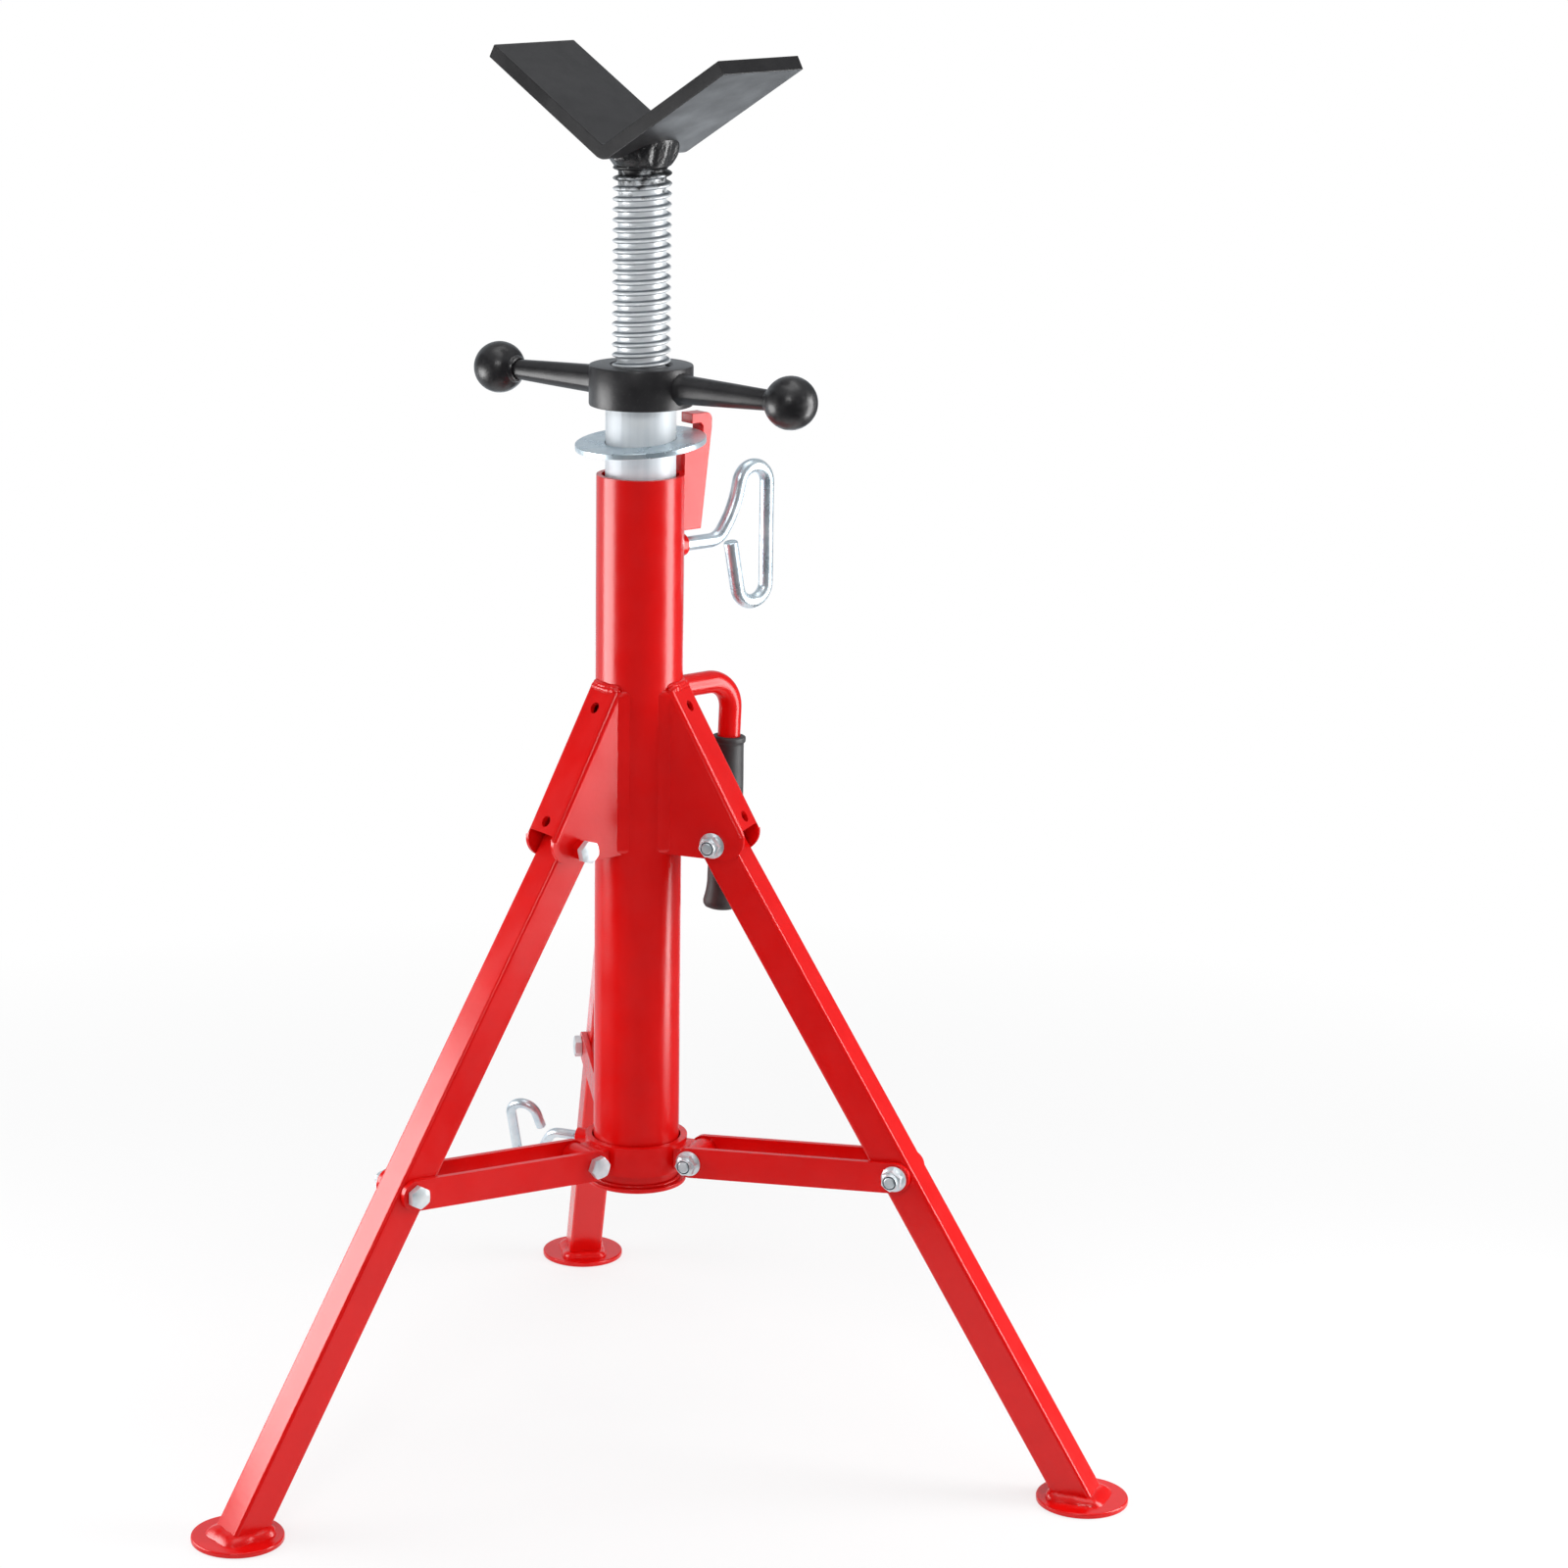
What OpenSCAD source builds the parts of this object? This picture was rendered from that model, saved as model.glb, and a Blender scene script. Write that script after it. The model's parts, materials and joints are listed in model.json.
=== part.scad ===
// Folding pipe jack stand with a V head, on three legs.
// Origin: on the floor, under the centre of the column. +Z is up.
// Beside an angle called az, local x is the distance out from the column and local y runs
// anticlockwise round it, so one outline in x and z serves all three legs.

/* [Column] */
// Gap between the inner tube and the column's bore
column_gap = 2.4; // [1.2:0.1:4]
// Wall of the column tube
column_wall = 3.6; // [2.6:0.1:4.2]
// Length of the column tube
column_len = 504.8; // [480:0.2:560]
// Height of the column's lower end above the floor
column_clear = 184.5; // [160:0.5:200]
// How far the stop ring at the lower end stands past the column
stop_w = 5.25; // [4:0.05:8]
// Thickness of the stop ring
stop_t = 3; // [2:0.5:6]

/* [Inner tube] */
// Outer diameter of the inner tube
inner_od = 48.3; // [46:0.1:49.6]
// Wall of the inner tube
inner_wall = 3.7; // [3:0.1:3.8]
// Length of the inner tube
inner_len = 538.7; // [500:0.5:560]
// How far the inner tube stands out of the column as stored
inner_out = 59.4; // [55:0.1:70]
// Distance between height holes
hole_pitch = 50; // [40:1:55]
// Number of height holes
hole_count = 9; // [4:1:9]
// Clearance round the height pin in the inner tube's holes
hole_clearance = 0.5; // [0.3:0.1:1]

/* [Legs] */
// Azimuth of the first leg
leg_az = 210; // [180:5:240]
// Width of the square leg tube
leg_w = 25; // [22:0.5:26]
// Wall of the leg tube
leg_wall = 2; // [1.5:0.1:3]
// Outer corner radius of the leg tube
leg_corner_r = 2.5; // [1:0.1:4]
// Lean of an open leg from the vertical
leg_lean = 31.8; // [28:0.2:35]
// Distance of the leg pivots from the column's face
pivot_reach = 31.35; // [30:0.05:36]
// Height of the leg pivots above the column's lower end
pivot_up = 253.8; // [240:0.2:270]
// Length of leg tube above its pivot
leg_top = 15; // [10:0.5:16]
// Distance from a leg's pivot down to its link bolt
link_down = 259.3; // [250:0.1:268]
// Diameter of the foot plate
foot_d = 63; // [50:1:80]
// Thickness of the foot plate
foot_t = 3.5; // [2:0.5:6]
// Outer diameter of the bush that carries a leg
bush_od = 12.5; // [11:0.5:15]

/* [Leg brackets] */
// Thickness of the bracket sheet
bracket_t = 3; // [2:0.5:4]
// Gap between the leg and each cheek
bracket_gap = 0.5; // [0.3:0.1:1]
// Lean of the bracket's web from the vertical
web_lean = 29; // [26:0.5:32]
// Distance from the pivot to the web's outer face
web_out = 24.5; // [23.5:0.1:27]
// Depth of the cheek below the pivot
cheek_below = 9.8; // [9:0.1:14]
// Radius of the cheek's outer corner
cheek_r = 15; // [12:0.5:17]
// Radius of the outer fold between web and cheek
fold_r = 4; // [2:0.5:5]
// Diameter of the two holes in the web
web_hole_d = 8; // [5:0.5:10]
// Height of the lower web hole along the web
web_hole_low = 8; // [6:0.5:14]
// Distance between the two web holes
web_hole_apart = 84.5; // [60:0.5:86]

/* [Collar and links] */
// Height of the collar
collar_h = 21; // [19:0.5:25]
// Gap between the column and the collar's bore
collar_gap = 1.2; // [0.6:0.1:1.5]
// Wall of the collar
collar_wall = 4.6; // [3.5:0.1:4.8]
// Gap between the collar and the stop ring under it
collar_rest = 9; // [6:0.5:15]
// Distance of the link bolts from the column's face
lug_reach = 16.55; // [16.4:0.05:17.8]
// Diameter of the lug that carries a pair of links
lug_d = 19; // [17:0.5:20]
// Width of a link plate
link_w = 21.5; // [20:0.5:24.5]
// Thickness of a link plate
link_t = 4; // [3:0.5:5]
// Gap between a link plate and what it runs beside
link_gap = 0.3; // [0.2:0.1:0.6]

/* [Bolts] */
// Diameter of every bolt
bolt_d = 8; // [7:0.5:8]
// Width across the flats of heads and nuts
hex_af = 13; // [12:0.5:14]
// Height of a bolt head
head_h = 5.3; // [4:0.1:6]
// Height of a flange nut
nut_h = 8; // [7:0.5:9]
// Diameter of a nut's flange
nut_flange_d = 17.9; // [16:0.1:18.5]
// Thickness of a nut's flange
nut_flange_t = 1.8; // [1:0.1:2.5]
// Length of bolt that shows past its nut
bolt_past = 2.5; // [1:0.5:5]
// Height of the nut welded on each bracket
weld_nut_h = 6.5; // [5:0.5:8]
// Running clearance round a bolt that something turns on
bolt_fit = 0.06; // [0.03:0.01:0.1]
// Clearance round a bolt in a plain hole
bolt_clearance = 0.25; // [0.1:0.05:0.5]

/* [Jack nut] */
// Diameter of the nut's hub
hub_d = 71; // [68:0.5:74]
// Height of the hub
hub_h = 27.8; // [26:0.2:34]
// Depth of the recess that sits over the inner tube
hub_recess = 12; // [9:0.5:13]
// Chamfer round the hub
hub_chamfer = 1.5; // [0.5:0.5:3]
// Azimuth of the handle arms
arm_az = 134.2; // [0:0.1:180]
// Distance of each knob's centre from the axis
knob_out = 125.9; // [110:0.1:150]
// Diameter of a knob
knob_d = 36; // [32:0.5:40]
// Diameter of an arm at the hub
arm_d = 17; // [14:0.5:19]
// Diameter of an arm at the knob
arm_tip_d = 14; // [12:0.5:14]
// Diameter of the stud that a knob sits on
stud_d = 10; // [8:0.5:11]
// Running clearance of the nut on tube and screw
nut_fit = 0.08; // [0.03:0.01:0.1]

/* [Screw and V head] */
// Gap between the screw and the inner tube's bore
screw_gap = 0.45; // [0.35:0.05:1.4]
// Pitch of the thread
pitch = 7; // [5:0.5:8]
// Depth of the thread
thread_depth = 3.75; // [2:0.05:4]
// Length of the screw below the underside of the head
screw_len = 200; // [185:1:240]
// Length of plain screw under the head
screw_neck = 6.7; // [6:0.1:10]
// Height of the V's inner corner above the nut
head_up = 149.5; // [130:0.5:200]
// Azimuth of the line that a pipe lies along
head_az = 37.7; // [0:0.1:90]
// Angle of each arm of the V above the horizontal
v_rise = 30; // [25:0.5:35]
// Length of each arm, from the V's inner corner
v_arm = 121.6; // [100:0.2:140]
// Length of the V along the pipe
v_len = 75; // [60:1:100]
// Thickness of the V's plate
v_t = 10; // [8:0.5:12]
// Inner bend radius of the V
v_bend_r = 3.4; // [2:0.1:6]
// Width of the weld under the V
weld_w = 4.5; // [3:0.5:6]
// Length without thread at the screw's lower end
screw_end = 2; // [1:0.5:4]

/* [Brake ring] */
// Outer diameter of the brake ring
ring_od = 89.6; // [86:0.1:92]
// Thickness of the brake ring
ring_t = 4; // [3:0.5:5]
// Tilt at which the ring grips the inner tube
ring_tilt = 5.2; // [4:0.1:6]
// Height of the ring's centre above the column
ring_up = 21.7; // [20:0.1:26]
// Clearance left where the tilted ring meets the tube
ring_grip = 0.05; // [0.03:0.01:0.1]
// Thickness of the hook plate
hook_t = 12; // [8:0.5:14]
// Depth of the hook plate's throat past the ring
throat_past = 4.2; // [3:0.1:6]
// Room above the ring in the hook's throat
throat_room = 4; // [3:0.1:5]
// Height of the hook's lip
lip_h = 7; // [5:0.5:9]
// Reach of the hook's lip over the ring
lip_reach = 5.5; // [4:0.5:7]
// Width of the hook plate behind its throat
hook_w = 8; // [6:0.5:9]
// Length of the hook plate down the column
hook_down = 42; // [30:0.5:46]
// Reach of the hook plate at its lower end, past the column
hook_foot = 18; // [14:0.5:22]

/* [Pins] */
// Azimuth of the height pin, the hook and the carrying handle
pin_az = 30; // [0:1:60]
// Diameter of the height pin
pin_d = 10; // [8:0.5:10]
// Height pin's distance below the top of the column
pin_drop = 52.8; // [52:0.1:60]
// Outer diameter of the height pin's boss
boss_d = 16; // [14:0.5:20]
// How far the boss stands out from the column's face
boss_reach = 14.35; // [10:0.05:19]
// Straight length of the height pin, from its tip to its first bend
pin_len = 34.9; // [34.9:0.1:40]
// Bend radius at the neck of the height pin's loop
pin_neck_r = 14; // [12:0.5:18]
// Radius of the long curve in the height pin's loop
pin_back_r = 75; // [60:1:90]
// Bend radius at the top of the height pin's loop
pin_top_r = 12.5; // [11:0.1:14]
// Bend radius at the bottom of the height pin's loop
pin_low_r = 12.7; // [11:0.1:14]
// Length of the height pin loop's outer side
pin_side = 71; // [60:1:80]
// How much shorter than that side the height pin's free end is
pin_short = 37; // [34:1:45]
// Azimuth of the collar pin
collar_pin_az = 150; // [140:1:160]
// Diameter of the collar pin
collar_pin_d = 7; // [6:0.5:7]
// Turn of the collar pin's loop about its rod
collar_loop_turn = 161; // [90:1:180]
// Straight length of the collar pin, from its tip to its first bend
collar_pin_len = 28.6; // [28:0.1:36]
// Bend radius at the neck of the collar pin's loop
collar_neck_r = 10; // [9:0.5:13]
// Radius of the long curve in the collar pin's loop
collar_back_r = 52; // [44:1:60]
// Bend radius at the first end of the collar pin's loop
collar_top_r = 9; // [8:0.1:10]
// Bend radius at the second end of the collar pin's loop
collar_low_r = 10.2; // [9:0.1:11]
// Length of the collar pin loop's outer side
collar_side = 37; // [33:1:42]
// How much shorter than that side the collar pin's free end is
collar_short = 27; // [26:1:30]
// Height of the collar pin above the middle of the collar
collar_pin_rise = 2; // [0:0.5:3]
// Outer diameter of the collar pin's boss
collar_boss_d = 12; // [11:0.5:14]
// How far the collar pin's boss stands out from the column's face
collar_boss_reach = 14.85; // [12:0.05:17.5]
// Clearance between a drawn pin's tip and what it locks
tip_gap = 0.5; // [0.4:0.1:1]
// Running clearance of a pin in its boss
pin_fit = 0.06; // [0.03:0.01:0.1]

/* [Carrying handle] */
// Diameter of the handle's rod
handle_d = 16; // [14:0.5:18]
// Handle's distance below the top of the column
handle_drop = 153.3; // [150:0.5:170]
// Distance of the grip's top from the column's face
handle_reach = 50.35; // [44:0.05:65]
// Bend radius at the middle of the handle's rod
handle_bend_r = 20; // [14:0.5:24]
// Lean of the grip towards the column
grip_lean = 2.5; // [0:0.5:4]
// Drop from the handle's top to the top of the grip
grip_drop = 40; // [36:0.5:60]
// Length of the grip
grip_len = 125; // [100:1:140]
// Diameter of the grip
grip_d = 22.5; // [20:0.5:26]
// Diameter of the grip's end collars
grip_end_d = 26; // [24:0.5:30]
// Thickness of the grip's upper collar
grip_collar_t = 3; // [2:0.5:5]
// Length of the grip's flared lower end
grip_flare = 12; // [10:0.5:16]
// Thickness of the grip's closed lower end
grip_cap = 8; // [5:0.5:10]

/* [Hidden] */

$fn = 64;
red = "firebrick";
black = [0.12, 0.12, 0.13];
zinc = [0.75, 0.77, 0.8];

// Length that a cut runs past the piece it goes through
past = 1;
// A short sleeve this long each way joins the stretches of a bent rod
sleeve = 0.4;
// A bend is this much slimmer than its sleeves
bend_slim = 0.06;
// Clearance of a knob or grip that is pressed on
rod_fit = 0.05;
// Room past the end of a stud inside its knob
stud_room = 0.3;
// A cross hole starts this far inside a bore and ends as far outside the wall
cross_past = 5;
// The inner tube sets the column round it and the screw inside it
column_od = inner_od + 2 * (column_gap + column_wall);
screw_d = inner_od - 2 * (inner_wall + screw_gap);
column_r = column_od / 2;
column_bore_r = column_r - column_wall;
column_top = column_clear + column_len;
stop_od = column_od + 2 * stop_w;
inner_r = inner_od / 2;
inner_bore_r = inner_r - inner_wall;
inner_top = column_top + inner_out;
// Distances from the column's axis
pivot_out = column_r + pivot_reach;
lug_out = column_r + lug_reach;
boss_out = column_r + boss_reach;
collar_boss_out = column_r + collar_boss_reach;
handle_out = column_r + handle_reach;

// Legs stand a third of a turn apart
leg_azs = [leg_az, leg_az + 120, leg_az + 240];
pivot_z = column_clear + pivot_up;
// Foot centre, where a leg's centre line meets the floor
foot_out = pivot_out + pivot_z * tan(leg_lean);
leg_len = pivot_z / cos(leg_lean);
link_x = pivot_out + link_down * sin(leg_lean);
link_z = pivot_z - link_down * cos(leg_lean);
// A leg's bush stands this far proud of the tube, into the cheek's gap
bush_proud = bracket_gap / 2;
cheek_in = leg_w / 2 + bracket_gap;
cheek_out = cheek_in + bracket_t;

// Collar, and the links between its lugs and the legs
collar_bottom = column_clear + stop_t + collar_rest;
collar_z = collar_bottom + collar_h / 2;
collar_bore_r = column_r + collar_gap;
collar_r = collar_bore_r + collar_wall;
lug_half = leg_w / 2;
link_in = lug_half + link_gap;
link_seat = link_in + link_t + link_gap / 2;
link_len = norm([link_x - lug_out, link_z - collar_z]);
link_tilt = atan2(link_z - collar_z, link_x - lug_out);
// The lug's neck is this much lower than the lug, above and below
lug_step = 2;
lug_neck_h = lug_d - 2 * lug_step;

// Nut, screw and head
hub_bottom = inner_top - hub_recess + nut_fit;
hub_top = hub_bottom + hub_h;
arm_z = hub_bottom + hub_h / 2;
// An arm starts this far inside the hub
arm_root = 5;
knob_face = knob_out - 0.9 * knob_d / 2;
stud_len = knob_d / 3;
v_corner_z = hub_top + head_up;
v_centre_z = v_corner_z + v_bend_r / cos(v_rise);
v_outer_r = v_bend_r + v_t;
head_bottom = v_centre_z - v_outer_r;
thread_top = head_bottom - screw_neck;
screw_bottom = head_bottom - screw_len;
thread_turns = floor((thread_top - screw_bottom - screw_end) / pitch);

// Brake ring, gripping the tube at two edges when tilted
ring_z = column_top + ring_up;
ring_bore_d = (inner_od + ring_t * sin(ring_tilt)) / cos(ring_tilt) + 2 * ring_grip;
ring_edge_x = ring_od / 2 * cos(ring_tilt) + ring_t / 2 * sin(ring_tilt);
ring_edge_z = ring_z + ring_od / 2 * sin(ring_tilt) - ring_t / 2 * cos(ring_tilt);
// Hook plate, with its shelf just under the ring's lower edge
shelf_gap = 0.3;
shelf_z = ring_edge_z - shelf_gap;
throat_x = ring_edge_x + throat_past;
throat_top = shelf_z + ring_t + throat_room;
hook_out = throat_x + hook_w;
hook_top = throat_top + lip_h;
lip_x = ring_edge_x - lip_reach;
hook_bottom = column_top - hook_down;
hook_top_r = 5;
// Width of the hook plate where it stands on the column, and its chamfer under the throat
hook_neck = 3;
// The hook plate starts this far below the column's top
hook_low = 2;

// Pins, stored drawn back so that their tips clear what they lock
pin_z = column_top - pin_drop;
pin_tip = (inner_r + column_bore_r) / 2;
collar_pin_z = collar_z + collar_pin_rise;
collar_tip = column_r + tip_gap;
// Travel of the collar from the open legs to the folded ones, where both ends lock
fold_lean = 5;
fold_x = pivot_out + link_down * sin(fold_lean);
fold_z = pivot_z - link_down * cos(fold_lean);
collar_travel = fold_z + sqrt(pow(link_len, 2) - pow(fold_x - lug_out, 2)) - collar_z;

// Pull loops of the two pins, as runs [length] and bends [radius, angle]
height_loop = [[pin_neck_r, 52], [pin_back_r, 28], [pin_top_r, -170], [pin_side],
    [pin_low_r, -169], [pin_side - pin_short]];
collar_loop = [[collar_neck_r, 52], [collar_back_r, 28], [collar_top_r, -170], [collar_side],
    [collar_low_r, -169], [collar_side - collar_short]];

// Turn a piece to the azimuth az
module at(az) rotate(az) children();
// Stand a drawing of x and z upright, centred on y
module upright(w) rotate([90, 0, 0]) linear_extrude(w, center = true) children();
// Bar along y from y0 to y1
module cross_bar(y0, y1, d) translate([0, y0, 0]) rotate([-90, 0, 0]) cylinder(h = y1 - y0, d = d);
// Bar along x from x0 to x1
module out_bar(x0, x1, d) translate([x0, 0, 0]) rotate([0, 90, 0]) cylinder(h = x1 - x0, d = d);
// Put a piece in the frame of a leg's pivot
module at_pivot() translate([pivot_out, 0, pivot_z]) children();
// Put a piece in the frame of a leg, with z up along it
module on_leg() at_pivot() rotate([0, -leg_lean, 0]) children();
// Cut away the column's round face, so a piece seats on the column
module off_column() {
    difference() {
        children();
        translate([0, 0, column_clear - past]) cylinder(h = column_len + 2 * past, r = column_r, $fn = 96);
    }
}

module round_rect(w, h, r) {
    square([w - 2 * r, h], center = true);
    square([w, h - 2 * r], center = true);
    for (x = [-1, 1]) for (y = [-1, 1])
        translate([x * (w / 2 - r), y * (h / 2 - r)]) circle(r);
}

// Rod bent through a list of steps, from the origin along +x, in the x-y plane
module bent_rod(steps, d, i = 0) {
    if (i < len(steps)) {
        step = steps[i];
        // A short sleeve joins each run and bend to the one before
        out_bar(-sleeve, sleeve, d);
        if (len(step) == 1) {
            out_bar(0, step[0], d);
            translate([step[0], 0, 0]) bent_rod(steps, d, i + 1);
        } else {
            side = sign(step[1]);
            turn = abs(step[1]);
            r = step[0];
            mirror([0, side < 0 ? 1 : 0, 0]) translate([0, r, 0]) rotate(-90)
                rotate_extrude(angle = turn) translate([r, 0]) circle(d = d - bend_slim);
            translate([r * sin(turn), side * r * (1 - cos(turn)), 0]) rotate(step[1])
                bent_rod(steps, d, i + 1);
        }
    }
}

// Pin along +x from its tapered tip, with its pull loop standing up in x and z
module loop_pin(d, straight, steps) {
    taper = d / 8;
    rotate([0, 90, 0]) cylinder(h = taper, d1 = d - 2 * taper, d2 = d);
    out_bar(taper, straight, d);
    translate([straight, 0, 0]) rotate([90, 0, 0]) bent_rod(steps, d);
}

// Bolt along y, its head's seat at y = seat and its end at y = tip
module hex_bolt(seat, tip) {
    cross_bar(tip, seat, bolt_d);
    translate([0, seat, 0]) rotate([-90, 0, 0]) cylinder(h = head_h, d = hex_af / cos(30), $fn = 6);
}

// Flange nut along -y, its flange on y = -seat, on a bolt of the common size
module flange_nut(seat) {
    difference() {
        union() {
            cross_bar(-seat - nut_flange_t, -seat, nut_flange_d);
            translate([0, -seat - nut_h, 0]) rotate([-90, 0, 0])
                cylinder(h = nut_h - nut_flange_t / 2, d = hex_af / cos(30), $fn = 6);
        }
        cross_bar(-seat - nut_h - past, -seat + past, bolt_d);
    }
}

module column_tube() {
    color(red) difference() {
        translate([0, 0, column_clear]) cylinder(h = column_len, r = column_r, $fn = 96);
        translate([0, 0, column_clear - past])
            cylinder(h = column_len + 2 * past, r = column_bore_r, $fn = 96);
        at(pin_az) translate([0, 0, pin_z])
            out_bar(column_bore_r - cross_past, column_r + cross_past, pin_d + 2 * bolt_clearance);
        at(collar_pin_az) for (z = [0, collar_travel]) translate([0, 0, collar_pin_z + z])
            out_bar(column_bore_r - cross_past, column_r + cross_past,
                collar_pin_d + 2 * hole_clearance);
    }
}

module stop_ring() {
    color(red) translate([0, 0, column_clear]) difference() {
        cylinder(h = stop_t, d = stop_od, $fn = 96);
        translate([0, 0, -past]) cylinder(h = stop_t + 2 * past, r = column_r, $fn = 96);
    }
}

module height_pin_boss() {
    color(red) at(pin_az) off_column() translate([0, 0, pin_z]) difference() {
        out_bar(column_bore_r, boss_out, boss_d);
        out_bar(column_bore_r - past, boss_out + past, pin_d + 2 * pin_fit);
    }
}

// The shelf keeps level under the ring's edge, then falls away so that the ring can tilt
module ring_hook() {
    neck_x = column_r + hook_neck;
    color(red) at(pin_az) off_column() upright(hook_t) {
        polygon([
            [column_bore_r, hook_bottom], [column_r + hook_foot, hook_bottom],
            [hook_out, throat_top - hook_neck], [hook_out, hook_top - hook_top_r],
            [hook_out - hook_top_r, hook_top - hook_top_r], [hook_out - hook_top_r, hook_top],
            [lip_x, hook_top], [lip_x, throat_top], [throat_x, throat_top], [throat_x, shelf_z],
            [ring_edge_x - 1, shelf_z], [neck_x, shelf_z - (ring_edge_x - 1 - neck_x) * 0.9],
            [neck_x, column_top - hook_low], [column_bore_r, column_top - hook_low]]);
        translate([hook_out - hook_top_r, hook_top - hook_top_r]) circle(hook_top_r);
    }
}

// A rod from the column out and down, its free end inside the grip
module carry_handle() {
    turn = 90 + grip_lean;
    reach = handle_out - handle_bend_r - column_bore_r;
    down = grip_drop + grip_len - handle_bend_r - grip_cap;
    color(red) at(pin_az) off_column()
        translate([column_bore_r, 0, column_top - handle_drop]) rotate([90, 0, 0])
        bent_rod([[reach], [handle_bend_r, -turn], [down]], handle_d);
}

module handle_grip() {
    turn = 90 + grip_lean;
    reach = handle_out - handle_bend_r;
    end_r = grip_end_d / 2;
    grip_r = grip_d / 2;
    edge = 1;
    low = -grip_len;
    color(black) at(pin_az)
        translate([reach, 0, column_top - handle_drop - handle_bend_r])
        rotate([0, -90 + turn, 0]) translate([handle_bend_r, 0, -(grip_drop - handle_bend_r)])
        difference() {
            rotate_extrude() polygon([
                [0, 0], [end_r - edge, 0], [end_r, -edge], [end_r, -grip_collar_t],
                [grip_r, -grip_collar_t - 2 * edge], [grip_r, low + grip_flare],
                [end_r, low + 5 * edge], [end_r, low + 2 * edge], [end_r - 2 * edge, low], [0, low]]);
            translate([0, 0, low + grip_cap]) cylinder(h = grip_len, d = handle_d + 2 * rod_fit);
        }
}

// Sheet channel round the top of a leg: a leaning web, two cheeks and rounded folds
module bracket(az) {
    cheek_bottom = pivot_z - cheek_below;
    corner_z = cheek_bottom + cheek_r;
    // Centre of the cheek's corner, as far inside the web's outer face as its radius
    corner_x = pivot_out + (web_out - cheek_r - (corner_z - pivot_z) * sin(web_lean)) / cos(web_lean);
    web_top = (pivot_out + web_out * cos(web_lean) - column_bore_r) / sin(web_lean);
    face = [pivot_out + web_out * cos(web_lean), pivot_z + web_out * sin(web_lean)];
    top = face + web_top * [-sin(web_lean), cos(web_lean)];
    color(red) at(az) off_column() difference() {
        union() {
            for (side = [-1, 1]) translate([0, side * (cheek_in + bracket_t / 2), 0])
                upright(bracket_t) {
                    polygon([
                        [column_bore_r / 2, cheek_bottom], [corner_x, cheek_bottom],
                        [corner_x, corner_z],
                        [corner_x + cheek_r * cos(web_lean), corner_z + cheek_r * sin(web_lean)],
                        top, [column_bore_r / 2, top[1]]]);
                    translate([corner_x, corner_z]) circle(cheek_r);
                }
            at_pivot() rotate([0, -web_lean, 0]) translate([web_out - bracket_t, -cheek_in - past, 0])
                cube([bracket_t, 2 * (cheek_in + past), web_top]);
        }
        at_pivot() rotate([0, -web_lean, 0]) {
            for (side = [-1, 1]) mirror([0, side < 0 ? 1 : 0, 0])
                translate([web_out - fold_r, cheek_out - fold_r, -fold_r]) difference() {
                    cube([2 * fold_r, 2 * fold_r, web_top + 2 * fold_r]);
                    translate([0, 0, -past]) cylinder(h = web_top + 3 * fold_r, r = fold_r);
                }
            for (z = [web_hole_low, web_hole_low + web_hole_apart])
                translate([0, 0, z]) out_bar(web_out - bracket_t - past, web_out + past, web_hole_d);
        }
        at_pivot() cross_bar(-cheek_out - past, cheek_out + past, bolt_d + 2 * bolt_clearance);
    }
}

module bracket_weld_nuts() {
    color(red) for (az = leg_azs) at(az) at_pivot() difference() {
        translate([0, cheek_out, 0]) rotate([-90, 0, 0])
            cylinder(h = weld_nut_h, d = hex_af / cos(30), $fn = 6);
        cross_bar(cheek_out - past, cheek_out + weld_nut_h + past, bolt_d + 2 * bolt_fit);
    }
}

module pivot_bolts() {
    color(zinc) for (az = leg_azs) at(az) at_pivot()
        hex_bolt(cheek_out + weld_nut_h, -cheek_out - nut_h - bolt_past);
}

module pivot_nuts() {
    color(zinc) for (az = leg_azs) at(az) at_pivot() flange_nut(cheek_out);
}

// Square tube, cut level where it stands on its foot
module leg_tube(az) {
    color(red) at(az) difference() {
        on_leg() translate([0, 0, -leg_len - leg_w]) difference() {
            linear_extrude(leg_len + leg_w + leg_top) round_rect(leg_w, leg_w, leg_corner_r);
            translate([0, 0, -past]) linear_extrude(leg_len + leg_w + leg_top + 2 * past)
                square(leg_w - 2 * leg_wall, center = true);
        }
        translate([foot_out - 3 * leg_w, -leg_w, foot_t - 4 * leg_w])
            cube([6 * leg_w, 2 * leg_w, 4 * leg_w]);
        at_pivot() cross_bar(-leg_w, leg_w, bush_od);
        translate([link_x, 0, link_z]) cross_bar(-leg_w, leg_w, bolt_d + 2 * bolt_clearance);
    }
}

module foot(az) {
    edge = foot_t / 5;
    color(red) at(az) translate([foot_out, 0, 0]) {
        cylinder(h = foot_t - edge, d = foot_d);
        translate([0, 0, foot_t - edge]) cylinder(h = edge, d1 = foot_d, d2 = foot_d - 2 * edge);
    }
}

module leg_bush(az) {
    half = leg_w / 2 + bush_proud;
    color(zinc) at(az) at_pivot() difference() {
        cross_bar(-half, half, bush_od);
        cross_bar(-half - past, half + past, bolt_d + 2 * bolt_fit);
    }
}

// Two flat bars with round ends, either side of the lug and the leg
module link_plates(az) {
    color(red) at(az) translate([lug_out, 0, collar_z]) rotate([0, -link_tilt, 0])
        for (side = [-1, 1]) translate([0, side * (link_in + link_t / 2), 0]) upright(link_t)
            difference() {
                union() {
                    translate([0, -link_w / 2]) square([link_len, link_w]);
                    for (x = [0, link_len]) translate([x, 0]) circle(d = link_w);
                }
                circle(d = bolt_d + 2 * bolt_fit);
                translate([link_len, 0]) circle(d = bolt_d + 2 * bolt_fit);
            }
}

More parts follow.
